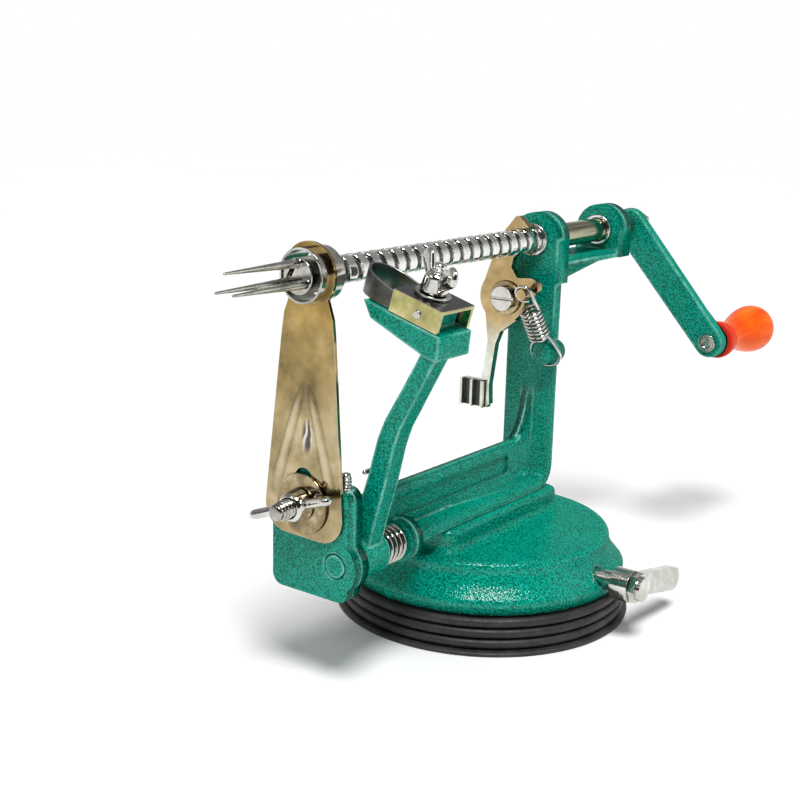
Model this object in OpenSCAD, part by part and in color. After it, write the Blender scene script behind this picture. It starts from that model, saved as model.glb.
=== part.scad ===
// Hand cranked apple peeler, corer and slicer on a suction base.
// +X runs along the drive screw from the fork to the crank, -Y is the operator's side, +Z is up.
// The origin is the middle of the suction pad's underside. All sizes are millimetres.

/* [Suction base] */
// Diameter of the flat top of the base casting
base_top_d = 97; // [84:1:106]
// Diameter of the base casting at its lower rim
base_rim_d = 109; // [107:1:124]
// Height of the flat top above the table
base_top_z = 32; // [31:0.5:36]
// Height of the casting's lower rim above the table
base_rim_z = 15; // [12:0.5:16]
// Wall of the base casting
base_wall = 4; // [3:0.5:6]
// Thickness of the casting's top plate
base_plate_t = 3.4; // [2.5:0.1:4]
// Length of the raised pad that carries the frame
saddle_l = 76; // [70:1:78]
// Width of the raised pad
saddle_w = 26; // [22:1:34]
// Height of the raised pad above the flat top
saddle_h = 8.5; // [5:0.5:12]
// Distance between the two screws that hold the frame down
base_screw_span = 56; // [48:1:62]
// Shank diameter of those screws
base_screw_d = 6; // [5:0.5:6.5]

/* [Suction pad and its lever] */
// Outer diameter of the rubber pad's lip
pad_lip_d = 114; // [112:1:122]
// Ribs around the rubber pad
pad_ribs = 3; // [2:1:4]
// Thickness of the rubber skin under the draw plate
pad_skin_t = 2.5; // [1.5:0.5:3]
// Diameter of the plate that draws the pad up
foot_d = 40; // [34:1:48]
// Diameter of the draw stem
stem_d = 14; // [13:0.5:16]
// Height of the cam shaft above the table
cam_z = 21; // [20.5:0.5:22]
// Diameter of the cam shaft
cam_shaft_d = 7; // [6:0.5:8]
// Diameter of the eccentric pin on the cam shaft
cam_pin_d = 4.2; // [3.4:0.2:4.2]
// Offset of the eccentric pin
cam_throw = 1.3; // [0.6:0.1:1.3]
// Turn of the suction lever between released and locked, degrees
cam_turn = 120; // [80:5:140]
// Length of the suction lever from its shaft
suction_lever_l = 36; // [26:1:46]
// Distance from the middle of the base to the suction lever's inner face
suction_lever_y = 58.5; // [57.5:0.5:66]

/* [Frame casting] */
// Height of the drive screw's axis above the table
shaft_z = 139; // [132:1:150]
// Place of the column's inner face along the screw
column_x = 28; // [24:1:34]
// Thickness of the column and floor flanges
flange_t = 4.5; // [3.5:0.5:6]
// Width of the flanges
flange_w = 20.6; // [18:0.2:26]
// Thickness of the web inside the flanges
web_t = 5; // [4:0.5:6]
// Height of the web above the floor flange
web_h = 15; // [10:0.5:20]
// Thickness of each bearing ear
ear_t = 9; // [7:0.5:11]
// Radius of the bearing ears around the screw
ear_r = 10.4; // [9.5:0.1:13]
// Distance between the inner faces of the two ears
ear_span = 51; // [40:1:60]
// Place of the front plate's outer face along the screw
plate_x = -104; // [-112:1:-100]
// Thickness of the front plate
plate_t = 7; // [5.5:0.5:8]
// Width of the front plate
plate_w = 32; // [30:0.5:40]
// Height of the front plate's top edge
plate_top_z = 71.5; // [70:0.5:80]
// Height of the front plate's lower edge
plate_low_z = 33.5; // [28:0.5:37]

/* [Drive screw and crank] */
// Diameter of the drive screw
shaft_d = 9.5; // [9:0.1:10.5]
// Advance of the screw for each turn
pitch = 6.35; // [5:0.05:7]
// Depth of the thread
thread_depth = 1; // [0.6:0.1:1.2]
// Outer diameter of the bearing bushings
bushing_d = 12.5; // [12:0.1:15]
// Diameter of the fork's hub
fork_hub_d = 11.6; // [10:0.2:11.8]
// Length of the fork's prongs
prong_l = 32; // [20:1:40]
// Diameter of a prong at its root
prong_d = 3; // [2:0.1:3.2]
// Distance from the crank's axis to the handle's axis
crank_l = 62; // [50:1:70]
// Width of the crank arm
crank_w = 14; // [12:0.5:18]
// Thickness of the crank arm
crank_t = 5; // [4:0.5:7]
// Direction of the crank below the level, degrees
crank_angle = 48.5; // [0:0.5:90]
// Length of the handle knob
knob_l = 48; // [40:1:60]
// Largest diameter of the handle knob
knob_d = 20.6; // [18:0.2:26]
// Diameter of the knob's collar
knob_collar_d = 16.6; // [14:0.2:20]

/* [Feed lever] */
// Thickness of the feed lever
lever_t = 3; // [2:0.5:3.5]
// Sideways place of the lever's pivot
lever_y = 5.5; // [4:0.5:7]
// Distance of the lever's pivot below the screw's axis
lever_drop = 22.3; // [20:0.1:25]
// Length of the boss that the lever pivots on
lever_boss_l = 7.1; // [5:0.1:9]
// Diameter of the lever's pivot screw
lever_pin_d = 7; // [5:0.5:8]
// Wire of the lever's spring
lever_wire_d = 1.3; // [1:0.1:1.3]
// Curls in the lever's spring
lever_curls = 8; // [6:1:8]

/* [Peeling arm] */
// Sideways place of the arm's pivot pin
arm_y = -10.3; // [-12:0.1:-10]
// Height of the arm's pivot pin
arm_z = 45.3; // [44:0.1:48]
// Diameter of the arm's pivot pin
arm_pin_d = 8; // [6:0.5:9]
// Diameter of the arm's hub
arm_hub_d = 14; // [12.5:0.5:14]
// Thickness of the arm along the screw
arm_t = 7; // [5:0.5:9]
// Wire of the arm's spring
arm_wire_d = 1.6; // [1.2:0.1:1.8]
// Curls in the arm's spring
arm_curls = 4; // [3:1:4]
// Width of the blade holder
holder_w = 17.4; // [15.5:0.1:19]
// Length of the blade holder
holder_l = 19; // [18:0.5:22]
// Height of the blade holder
holder_h = 7.4; // [6.5:0.1:9]
// Sheet of the blade holder
holder_t = 1.2; // [0.8:0.1:1.5]
// Thickness of the peeling blade's strip
peel_blade_t = 0.8; // [0.6:0.1:1.2]
// Reach of the peeling blade's nose from the holder's outer end
peel_reach = 35; // [30:0.5:35.5]
// Slope of the blade holder, degrees
head_tilt = 16; // [12:0.5:18]
// Diameter of the holder's clamping bolt
holder_bolt_d = 5; // [4:0.5:6.5]

/* [Slicing blade] */
// Thickness of the slicing blade
blade_t = 1.2; // [0.8:0.1:2]
// Width of the slicing blade at its foot
blade_w = 32.6; // [28:0.2:38]
// Outer diameter of the coring ring
core_d = 17.6; // [15.6:0.2:20]
// Length of the coring ring
core_l = 11; // [8:0.5:14]
// Wall of the coring ring
core_wall = 0.8; // [0.6:0.1:1]
// Diameter of the clamping stud
stud_d = 6.5; // [5:0.5:8]
// Sideways place of the clamping stud
stud_y = 1.8; // [0:0.1:4]
// Height of the clamping stud
stud_z = 64.6; // [61:0.1:68]
// Span of the clamping wing nut
wing_span = 36; // [30:0.5:44]

/* [Hidden] */
$fn = 48;

// Clearances
run_gap = 0.05;
press_gap = 0.02;
face_gap = 0.1;
swing_gap = 0.3;

// Colours
enamel = [0.04, 0.45, 0.38];
steel = [0.78, 0.77, 0.74];
rubber = [0.05, 0.05, 0.05];
handle_orange = [0.95, 0.40, 0.10];

// Suction base
base_top_r = base_top_d / 2;
base_rim_r = base_rim_d / 2;
base_edge_r = 2.5;
base_lip_h = 4;
base_cavity_r = base_top_r - base_wall;
plate_under_z = base_top_z - base_plate_t;
boss_wall = 4;
boss_r = stem_d / 2 + boss_wall;
saddle_mid_x = column_x + flange_t + 2 - saddle_l / 2;
saddle_end_r = 4;
base_head_d = base_screw_d * 1.7;
base_head_h = 4;
screw_bite = flange_t - 0.5;
base_screw_mid_x = -2;
base_screw_xs = [base_screw_mid_x - base_screw_span / 2, base_screw_mid_x + base_screw_span / 2];

// Suction pad
pad_lip_r = pad_lip_d / 2;
pad_lip_t = 1.6;
pad_neck_r = base_rim_r - 2;
pad_skirt_w = 8;
pad_plate_t = 10;
foot_r = foot_d / 2;
foot_t = 3;
foot_clear = 0.4;

// Cam and lever of the suction pad
cam_lift_sin = sin(cam_turn / 2);
cam_rest = [cam_throw * cos(cam_turn / 2), -cam_throw * cam_lift_sin];
stem_slot_h = cam_pin_d + 0.5;
stem_slot_w = cam_pin_d + 2 * cam_throw + 0.6;
stem_top_z = plate_under_z - 2 * cam_throw * cam_lift_sin - 0.3;
foot_z = pad_skin_t + 0.3;
cam_pin_half = stem_d / 2 + 0.5;
cam_end_y = boss_r - 1;
lever_hub_d = 12;
lever_hub_l = 7;
suction_arm_t = 4;
suction_arm_w = 9;
suction_arm_drop = 12;
cam_nut_af = 10;
cam_nut_h = 4.5;
suction_hub_end = -suction_lever_y - lever_hub_l;

// Frame casting
floor_z = base_top_z + saddle_h;
floor_top_z = floor_z + flange_t;
web_top_z = floor_top_z + web_h;
flange_r = flange_w / 2;
column_back_x = column_x + flange_t;
ear2_x = column_x + ear_span;
shelf_w = flange_w - 2;
shelf_t = 2.8;
shelf_z = shaft_z - 8;
plate_back_x = plate_x + plate_t;
plate_corner_r = 4;
outer_corner_r = 9;
rib_rise = 23;
rib_run = 12;
panel_depth = 1;
panel_margin = 4;
lug_r = 9;
stud_lug_r = 11.8;
rear_lug_r = 7.6;
rear_lug_t = 6;
lever_z = shaft_z - lever_drop;
lever_boss_d = 11;
spring_post_d = 8.8;
spring_post_l = 6;
spring_post_y = -9.5;
spring_post_z = shaft_z - 43;
anchor_d = 4;
anchor_y = -12;
anchor_h = 5;
anchor_sink = 6;
plate_mid_x = plate_x + plate_t / 2;

// Drive screw
shaft_r = shaft_d / 2;
root_r = shaft_r - thread_depth;
core_r = root_r - 0.45;
tenon_r = 3;
fork_hub_r = fork_hub_d / 2;
fork_hub_l = 8;
fork_face_t = 1.5;
thread_x0 = plate_x + 1.4;
tenon_x0 = thread_x0 - fork_hub_l + fork_face_t + face_gap;
crest_w = 0.5 * pitch;
flank_w = 0.1 * pitch;
thread_l = 2 * flank_w + crest_w;
thread_turns = floor((column_x + 4 - thread_x0 - thread_l) / pitch);
thread_x1 = thread_x0 + thread_turns * pitch + thread_l;
relief_l = 1.5;
thread_steps = 20;
bushing_r = bushing_d / 2;
bushing_front = 2;
bushing_back = 1.5;
shoulder_x = ear2_x + ear_t + 8.5;
stub_d = 5.8;
stub_r = stub_d / 2;
washer_t = 1.2;
washer_d = 9.4;
crank_x = shoulder_x + 8.7;
spacer_d = 7.6;
crank_nut_af = 10;
crank_nut_h = 5;
stub_end_x = crank_x + crank_t + crank_nut_h + 1.5;
prong_ring_r = fork_hub_r - prong_d / 2 - 0.3;
prong_tip_r = 0.4;

// Crank and handle
crank_dir = [-cos(crank_angle), -sin(crank_angle)];
handle_y = crank_l * crank_dir[0];
handle_z = shaft_z + crank_l * crank_dir[1];
crank_end_r = crank_w / 2 - 0.6;
crank_boss_l = 2.6;
knob_x = crank_x + crank_t + crank_boss_l + swing_gap;
axle_d = 5;
axle_head_d = 7.6;
axle_head_h = 1.6;
axle_depth = knob_l - 12;
knob_neck_d = 12.4;
knob_collar_l = 5;

// Feed lever
lever_x1 = column_x - lever_boss_l - face_gap;
lever_x0 = lever_x1 - lever_t;
lever_mid_x = (lever_x0 + lever_x1) / 2;
hook_gap = 0.35;
hook_r = shaft_r + hook_gap;
tooth_w = 1.3;
tooth_reach = thread_depth - 0.4;
tooth_half_angle = 20;
lever_body_r = 10.2;
lever_washer_d = 13.4;
lever_washer_t = 1.1;
lever_head_d = 9.4;
lever_head_h = 2.3;
tab_w = 11;
tab_h = 10.8;
tab_ribs = 2;
tail_y = -5.6;
tail_z = lever_z + 3.2;
tail_peg_d = 4;
tail_peg_l = 7.4;
tab_rib_w = 1.1;
finger_z = lever_z - 45.2;
finger_y = 13.4;

// Peeling arm and its head
arm_x0 = plate_back_x + 4.3;
arm_x1 = arm_x0 + arm_t;
arm_hub_x0 = plate_back_x + swing_gap;
arm_hub_x1 = arm_x1 + 2.6;
arm_spring_r = arm_pin_d / 2 + 1 + arm_wire_d / 2;
arm_spring_pitch = arm_wire_d + 0.8;
arm_spring_x0 = arm_hub_x1 + swing_gap + arm_wire_d / 2;
arm_spring_x1 = arm_spring_x0 + arm_curls * arm_spring_pitch;
rear_lug_x0 = arm_spring_x1 + arm_wire_d / 2 + swing_gap;
rear_lug_x1 = rear_lug_x0 + rear_lug_t;
head_x = arm_x0 - 0.4 + holder_w / 2;
head_y = arm_y - 29.7;
head_z = shaft_z - 15.2;
blade_half = holder_w / 2 - holder_t - face_gap / 2;
blade_h = holder_h - holder_t - 0.3;
nose_l = 10;
nose_rise = 2.8;
block_over = 10;
block_top = 0.4;
block_h = 8.4;
tongue_half = blade_half - peel_blade_t - 0.2;
tongue_u = [4, holder_l - 3];
bolt_u = 10.4;
bolt_sink = 4;
holder_washer_d = 11.5;
holder_washer_t = 1.2;
holder_nut_h = 6.4;
holder_nut_d = 9;
holder_wing_span = 24;
holder_wing_h = 11.5;
holder_wing_t = 2.8;
holder_wing_turn = 61;
bolt_over = 3.2;
rivet_d = 2.9;
rivet_u = 8.5;

// Slicing blade and its clamp
blade_x0 = plate_x - blade_t - press_gap;
core_r_out = core_d / 2;
eye_r = core_r_out + 1.6;
blade_foot_z = stud_z - 11.6;
blade_len = shaft_z - blade_foot_z;
blade_lean = atan2(stud_y, shaft_z - stud_z);
slot_w = stud_d + 1;
slot_top = 12;
slot_low = 0.3;
blade_shoulder = 66;
blade_shoulder_w = 21.8;
stud_x0 = plate_x - 15;
blade_washer_d = 20.5;
blade_washer_t = 1.1;
washer_x0 = blade_x0 - blade_washer_t;
wing_hub_d = 11;
wing_hub_l = 6.2;
wing_h = 7.4;
wing_t = 3.4;
wing_angle = -20;
rib_h = 0.5;
rib_w = 2.2;
rib_top_h = 50;
rib_l = 36;
rib_top_y = 1.6;
rib_low_y = 12.4;

// Tools for placing shapes

// A flat shape drawn as (y, z), thickened along +X from x0.
module slab_x(x0, t) {
    translate([x0, 0, 0]) rotate([90, 0, 90]) linear_extrude(height = t) children();
}

// A flat shape drawn as (x, z), thickened along +Y from y0.
module slab_y(y0, t) {
    translate([0, y0 + t, 0]) rotate([90, 0, 0]) linear_extrude(height = t) children();
}

// A round bar along X.
module bar_x(x0, x1, y, z, r) {
    translate([x0, y, z]) rotate([0, 90, 0]) cylinder(h = x1 - x0, r = r);
}

// A round bar along Y.
module bar_y(y0, y1, x, z, r) {
    translate([x, y0, z]) rotate([-90, 0, 0]) cylinder(h = y1 - y0, r = r);
}

// A tube along X.
module tube_x(x0, x1, y, z, r_out, r_in) {
    difference() {
        bar_x(x0, x1, y, z, r_out);
        bar_x(x0 - 1, x1 + 1, y, z, r_in);
    }
}

// A hexagonal nut along X with a round bore.
module hex_x(x0, h, y, z, af, bore_r) {
    difference() {
        translate([x0, y, z]) rotate([0, 90, 0]) cylinder(h = h, d = af / cos(30), $fn = 6);
        bar_x(x0 - 1, x0 + h + 1, y, z, bore_r);
    }
}

// A rectangle with round corners, between two corner points.
module round_rect(a, b, r) {
    translate([a[0] + r, a[1]]) square([b[0] - a[0] - 2 * r, b[1] - a[1]]);
    translate([a[0], a[1] + r]) square([b[0] - a[0], b[1] - a[1] - 2 * r]);
    for (y = [a[0] + r, b[0] - r], z = [a[1] + r, b[1] - r])
        translate([y, z]) circle(r = r);
}

// Outline of a bar with round ends from point a to point b, as wide as its two end circles.
function arc_points(c, r, from, to, steps) =
    [for (i = [0:steps]) let (t = from + (to - from) * i / steps) c + r * [cos(t), sin(t)]];
function link_points(a, b, ra, rb, steps = 12) =
    let (d = b - a, t = atan2(d[1], d[0]), p = asin((ra - rb) / norm(d)))
    concat(arc_points(b, rb, t - 90 + p, t + 90 - p, steps), arc_points(a, ra, t + 90 - p, t + 270 + p, steps));

module link(a, b, ra, rb) {
    polygon(link_points(a, b, ra, rb));
}

// A wing nut standing on the XY plane, its wings along X.
module wing_nut(hub_d, hub_l, bore_r, span, tall, thick) {
    tip_r = tall * 0.3;
    root_r2 = hub_l * 0.3;
    lobe = span / 2 - tip_r;
    difference() {
        union() {
            cylinder(h = hub_l, d1 = hub_d, d2 = hub_d * 0.82);
            for (s = [-1, 1]) translate([0, thick / 2, 0]) rotate([90, 0, 0]) linear_extrude(height = thick)
                link([s * hub_d * 0.36, root_r2 + 1], [s * lobe, tall - tip_r], root_r2, tip_r);
        }
        translate([0, 0, -1]) cylinder(h = hub_l + tall, r = bore_r);
    }
}

// Wire tubes
function unit(v) = v / norm(v);
function tangent(p, i) = unit(p[min(i + 1, len(p) - 1)] - p[max(i - 1, 0)]);
function carry(n, t) = unit(n - t * (n * t));
function start_normal(t) = carry(abs(t[2]) < 0.8 ? [0, 0, 1] : [0, 1, 0], t);
function wire_normals(p) =
    [for (i = 0, n = start_normal(tangent(p, 0)); i < len(p); i = i + 1, n = i < len(p) ? carry(n, tangent(p, i)) : n) n];
function ring_points(c, n, t, r, sides) =
    [for (k = [0:sides - 1]) c + r * (n * cos(360 * k / sides) + cross(t, n) * sin(360 * k / sides))];

// One unbroken round wire along the points p.
module wire(p, r, sides = 6) {
    normals = wire_normals(p);
    rings = [for (i = [0:len(p) - 1]) ring_points(p[i], normals[i], tangent(p, i), r, sides)];
    points = [for (ring = rings) each ring];
    side_faces = [for (i = [0:len(p) - 2], k = [0:sides - 1])
        let (a = i * sides + k, b = i * sides + (k + 1) % sides)
        each [[a, a + sides, b], [b, a + sides, b + sides]]];
    first_cap = [for (k = [1:sides - 2]) [0, k, k + 1]];
    last = (len(p) - 1) * sides;
    last_cap = [for (k = [1:sides - 2]) [last, last + k + 1, last + k]];
    polyhedron(points = points, faces = concat(side_faces, first_cap, last_cap));
}

// Least distance between the skins of turns of a wire that are not neighbours along it.
function wire_gap(p, r, apart) =
    min([for (i = [0:len(p) - 1]) for (j = [i + apart:1:len(p) - 1]) norm(p[i] - p[j])]) - 2 * r;

// Lever spring: a loop round the post, the curls, and a loop round the peg on the lever's tail
spring_loop_r = spring_post_d / 2 + 0.95 + lever_wire_d / 2;
spring_curl_r = 3.6;
spring_low = [column_x - spring_post_l / 2 - 0.5, spring_post_y, spring_post_z];
spring_high = [lever_x0 - 5, tail_y, tail_z];
spring_l = norm(spring_high - spring_low);
spring_axis = unit(spring_high - spring_low);
spring_side = unit(cross([1, 0, 0], spring_axis));
spring_front = cross(spring_axis, spring_side);
spring_hook_r = tail_peg_d / 2 + 0.65 + lever_wire_d / 2;
spring_lead = 1.2;
spring_top_lead = 3.4;
spring_body_start = spring_loop_r + spring_lead;
spring_body = spring_l - spring_body_start - spring_hook_r - spring_top_lead;
curl_rings = 8;
function spring_at(u, side, front) = spring_low + spring_axis * u + spring_side * side + spring_front * front;
post_points = [for (a = [10:-28:-270]) spring_at(spring_loop_r * cos(a), spring_loop_r * sin(a), 0)];
curl_points = [for (k = [0:lever_curls * curl_rings])
    let (a = 90 + 360 * k / curl_rings, f = k / (lever_curls * curl_rings))
    spring_at(spring_body_start + spring_body * f, spring_curl_r * sin(a), spring_curl_r * cos(a))];
hook_points = [for (a = [90:-28:-190])
    spring_at(spring_l + spring_hook_r * cos(a), spring_hook_r * sin(a), 0)];
lever_spring_points = concat(post_points, curl_points, hook_points);
echo(lever_spring_gap = wire_gap(lever_spring_points, lever_wire_d / 2, 6));

// Arm spring: curls round the pivot pin, and a leg that hooks the arm's inner edge
arm_low_r = 4;
arm_top_r = 2.8;
arm_pivot = [arm_y, arm_z];
arm_top = [head_y + 1, head_z - 7.5];
// Middle line of the arm, from its pivot to its head, and half its width along it.
arm_bends = [[0, 0], [0.13, 0.2], [0.28, 0.401], [0.392, 0.58], [0.482, 0.672], [0.685, 0.817], [0.97, 1.03]];
arm_line = [for (b = arm_bends)
    [arm_pivot[0] + (arm_top[0] - arm_pivot[0]) * b[0], arm_pivot[1] + (arm_top[1] - arm_pivot[1]) * b[1]]];
function arm_half(i) = arm_low_r + (arm_top_r - arm_low_r) * i / (len(arm_line) - 1);
function arm_side(i) =
    let (d = unit(arm_line[min(i + 1, len(arm_line) - 1)] - arm_line[max(i - 1, 0)])) [d[1], -d[0]];
arm_leg_i = 2;
arm_leg_tip = arm_line[arm_leg_i] + (arm_half(arm_leg_i) + arm_wire_d / 2 + 0.3) * arm_side(arm_leg_i);
arm_curl_points = [for (k = [0:arm_curls * curl_rings])
    let (a = 360 * k / curl_rings)
    [arm_spring_x1 - arm_spring_pitch * k / curl_rings,
     arm_y + arm_spring_r * cos(a), arm_z + arm_spring_r * sin(a)]];
arm_leg_start = [arm_spring_x0, arm_y + arm_spring_r, arm_z + 3];
arm_leg_bend = [arm_x1 + 1.5, arm_leg_tip[0], arm_leg_tip[1]];
arm_leg_points = concat(
    [for (f = [0:0.25:1]) arm_leg_start + (arm_leg_bend - arm_leg_start) * f],
    [for (x = [arm_x1 - 0.5, arm_x0 + 2, arm_x0 - 0.6]) [x, arm_leg_tip[0], arm_leg_tip[1] + 0.4]]);
arm_spring_points = concat(arm_curl_points, arm_leg_points);
echo(arm_spring_gap = wire_gap(arm_spring_points, arm_wire_d / 2, 6));

// Suction base casting
function base_flare(f) = base_rim_r + (base_top_r - base_rim_r) * sin(90 * f);

module base_profile() {
    flare_low = base_rim_z + base_lip_h;
    flare_high = base_top_z - base_edge_r;
    polygon(concat(
        [[0, base_rim_z], [base_rim_r, base_rim_z]],
        [for (f = [0:0.125:1]) [base_flare(f), flare_low + (flare_high - flare_low) * f]],
        [for (a = [15:15:90]) [base_top_r - base_edge_r * (1 - cos(a)), flare_high + base_edge_r * sin(a)]],
        [[0, base_top_z]]));
}

module suction_base() {
    color(enamel) difference() {
        union() {
            difference() {
                rotate_extrude($fn = 96) base_profile();
                translate([0, 0, base_rim_z - 1])
                    cylinder(h = plate_under_z - base_rim_z + 1, r = base_cavity_r, $fn = 96);
            }
            translate([0, 0, base_top_z - 1]) linear_extrude(height = saddle_h + 1)
                round_rect([saddle_mid_x - saddle_l / 2, -saddle_w / 2],
                           [saddle_mid_x + saddle_l / 2, saddle_w / 2], saddle_end_r);
            translate([0, 0, base_rim_z + 1.5]) cylinder(h = plate_under_z - base_rim_z, r = boss_r);
        }
        translate([0, 0, base_rim_z]) cylinder(h = plate_under_z - base_rim_z, r = stem_d / 2 + run_gap);
        bar_y(-base_rim_r - 1, cam_end_y + 0.5, 0, cam_z, cam_shaft_d / 2 + run_gap);
        for (x = base_screw_xs) {
            translate([x, 0, base_rim_z]) cylinder(h = floor_z, r = base_screw_d / 2 + 0.2);
        }
    }
}

// Ribbed rubber pad under the base
module suction_pad() {
    rib_pitch = (base_rim_z - pad_lip_t - 1.4) / pad_ribs;
    rib_out = base_rim_r + 1;
    color(rubber) rotate_extrude($fn = 96) polygon(concat(
        [[0, 0], [pad_lip_r, 0], [pad_lip_r, pad_lip_t]],
        [for (i = [0:pad_ribs - 1]) let (z = pad_lip_t + 0.4 + i * rib_pitch)
            each [[pad_neck_r, z], [rib_out, z + rib_pitch * 0.25], [rib_out, z + rib_pitch * 0.7],
                  [pad_neck_r, z + rib_pitch * 0.95]]],
        [[pad_neck_r, base_rim_z], [pad_neck_r - pad_skirt_w, base_rim_z],
         [pad_neck_r - pad_skirt_w, pad_plate_t], [foot_r + foot_clear, pad_plate_t],
         [foot_r + foot_clear, pad_skin_t], [0, pad_skin_t]]));
}

module base_screws() {
    color(steel) for (x = base_screw_xs) translate([x, 0, 0]) {
        translate([0, 0, plate_under_z - base_head_h]) cylinder(h = base_head_h, d = base_head_d);
        translate([0, 0, plate_under_z - 0.5]) cylinder(h = floor_z + screw_bite - plate_under_z + 0.5, d = base_screw_d);
    }
}

// Shaft with an eccentric pin that lifts the stem
module cam_shaft() {
    color(steel) {
        bar_y(suction_hub_end - cam_nut_h + 0.5, -cam_pin_half, 0, cam_z, cam_shaft_d / 2);
        bar_y(cam_pin_half, cam_end_y, 0, cam_z, cam_shaft_d / 2);
        bar_y(-cam_pin_half - 0.5, cam_pin_half + 0.5, cam_rest[0], cam_z + cam_rest[1], cam_pin_d / 2);
    }
}

module suction_lever() {
    tip = suction_lever_l * [cos(suction_arm_drop), -sin(suction_arm_drop)];
    color(steel) difference() {
        union() {
            bar_y(suction_hub_end, -suction_lever_y, 0, cam_z, lever_hub_d / 2);
            slab_y(suction_hub_end, suction_arm_t)
                link([0, cam_z], [0, cam_z] + tip, suction_arm_w * 0.45, suction_arm_w / 2);
        }
        bar_y(suction_hub_end - 1, -suction_lever_y + 1, 0, cam_z, cam_shaft_d / 2 + press_gap);
    }
}

module suction_lever_nut() {
    color(steel) difference() {
        translate([0, suction_hub_end, cam_z]) rotate([90, 0, 0]) {
            cylinder(h = cam_nut_h * 0.6, d = cam_nut_af / cos(30), $fn = 6);
            cylinder(h = cam_nut_h, d = cam_nut_af * 0.92);
        }
        bar_y(suction_hub_end - cam_nut_h + 0.4, suction_hub_end + 1, 0, cam_z, cam_shaft_d / 2 + press_gap);
    }
}

// Stem that the cam lifts, with the plate that draws the pad's middle up
module draw_stem() {
    color(steel) difference() {
        union() {
            translate([0, 0, foot_z]) cylinder(h = foot_t, r = foot_r);
            translate([0, 0, foot_z]) cylinder(h = stem_top_z - foot_z, d = stem_d);
        }
        translate([-stem_slot_w / 2, -stem_d, cam_z + cam_rest[1] - stem_slot_h / 2])
            cube([stem_slot_w, 2 * stem_d, stem_slot_h]);
    }
}

// Frame casting

// Side outline of the web with the rib that climbs the column.
module web_outline() {
    polygon(concat(
        [[plate_back_x - 1, floor_z + 1], [column_x + 1, floor_z + 1], [column_x + 1, web_top_z + rib_rise]],
        [for (a = [0:15:90]) [column_x - rib_run + rib_run * cos(a), web_top_z + rib_rise * (1 - sin(a))]],
        [[plate_back_x - 1, web_top_z]]));
}

// Side outline of the floor flange and the column flange, with their round outer corner.
module flange_outline() {
    corner = [column_back_x - outer_corner_r, floor_z + outer_corner_r];
    polygon(concat(
        [[plate_back_x - 1, floor_z]],
        [for (a = [-90:15:0]) corner + outer_corner_r * [cos(a), sin(a)]],
        [[column_back_x, shaft_z - ear_r], [column_x, shaft_z - ear_r], [column_x, floor_top_z + 4],
         [column_x - 4, floor_top_z], [plate_back_x - 1, floor_top_z]]));
}

// Outline of a bearing ear around the screw, as (y, z), down to a given height.
module ear_outline(low_z) {
    translate([0, shaft_z]) circle(r = ear_r);
    translate([-ear_r, low_z]) square([2 * ear_r, shaft_z - low_z]);
}

// Shelf between the ears and the gusset under it.
module shelf() {
    translate([column_x, -shelf_w / 2, shelf_z - shelf_t]) cube([ear_span + ear_t, shelf_w, shelf_t]);
    slab_y(-web_t / 2, web_t) polygon([
        [column_back_x - 1, shelf_z - 1], [column_back_x - 1, shelf_z - shelf_t - 9],
        [ear2_x + 3, shelf_z - shelf_t - 1], [ear2_x + 3, shelf_z - 1]]);
}

module front_plate() {
    slab_x(plate_x, plate_t) {
        round_rect([-plate_w / 2, plate_low_z], [plate_w / 2, plate_top_z], plate_corner_r);
        translate([arm_y, arm_z]) circle(r = lug_r);
        translate([stud_y, stud_z]) circle(r = stud_lug_r);
    }
}

module frame() {
    notch_x0 = plate_back_x;
    notch_x1 = rear_lug_x0;
    color(enamel) difference() {
        union() {
            difference() {
                slab_y(-flange_r, flange_w) flange_outline();
                translate([notch_x0, -flange_r - 1, floor_z - 1])
                    cube([notch_x1 - notch_x0, flange_r + 1 - web_t / 2, flange_t + 2]);
            }
            slab_y(-web_t / 2, web_t) web_outline();
            slab_x(column_x, ear_t) ear_outline(shelf_z - shelf_t - 6);
            slab_x(ear2_x, ear_t) ear_outline(shelf_z - shelf_t);
            shelf();
            front_plate();
            bar_x(rear_lug_x0, rear_lug_x1, arm_y, arm_z, rear_lug_r);
            bar_x(column_x - lever_boss_l, column_x + 1, lever_y, lever_z, lever_boss_d / 2);
            bar_x(column_x - spring_post_l, column_back_x - 0.5, spring_post_y, spring_post_z, spring_post_d / 2);
        }
        for (s = [-1, 1]) panel_recess(s);
        bar_x(column_x - 1, ear2_x + ear_t + 1, 0, shaft_z, bushing_r + press_gap);
        bar_x(plate_x - 1, rear_lug_x1 + 1, arm_y, arm_z, arm_pin_d / 2 + press_gap);
        translate([plate_x - 0.01, arm_y, arm_z]) rotate([0, 90, 0])
            cylinder(h = 1, r1 = arm_pin_d / 2 + 1.1, r2 = arm_pin_d / 2 + press_gap);
        bar_x(plate_x - 1, plate_back_x + 1, stud_y, stud_z, stud_d / 2 + press_gap);
        translate([plate_mid_x, anchor_y, plate_top_z - anchor_sink])
            cylinder(h = anchor_sink + 1, d = anchor_d + 2 * press_gap);
        bar_x(column_x - lever_boss_l - 1, column_back_x + 1, lever_y, lever_z, lever_pin_d * 0.35 + press_gap);
        for (x = base_screw_xs)
            translate([x, 0, floor_z - 1]) cylinder(h = screw_bite + 1.5, d = base_screw_d + 2 * press_gap);
    }
}

// Plain sunken panel in one side of the web.
module panel_recess(side) {
    y0 = side > 0 ? web_t / 2 - panel_depth : -web_t / 2 - 1;
    slab_y(y0, panel_depth + 1)
        round_rect([rear_lug_x1 + panel_margin, floor_top_z + panel_margin],
                   [column_x - rib_run - panel_margin, web_top_z - panel_margin], 2);
}

module front_bushing() {
    color(steel) tube_x(column_x - bushing_front, column_x + ear_t + bushing_back, 0, shaft_z,
                        bushing_r, shaft_r + run_gap);
}

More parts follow.
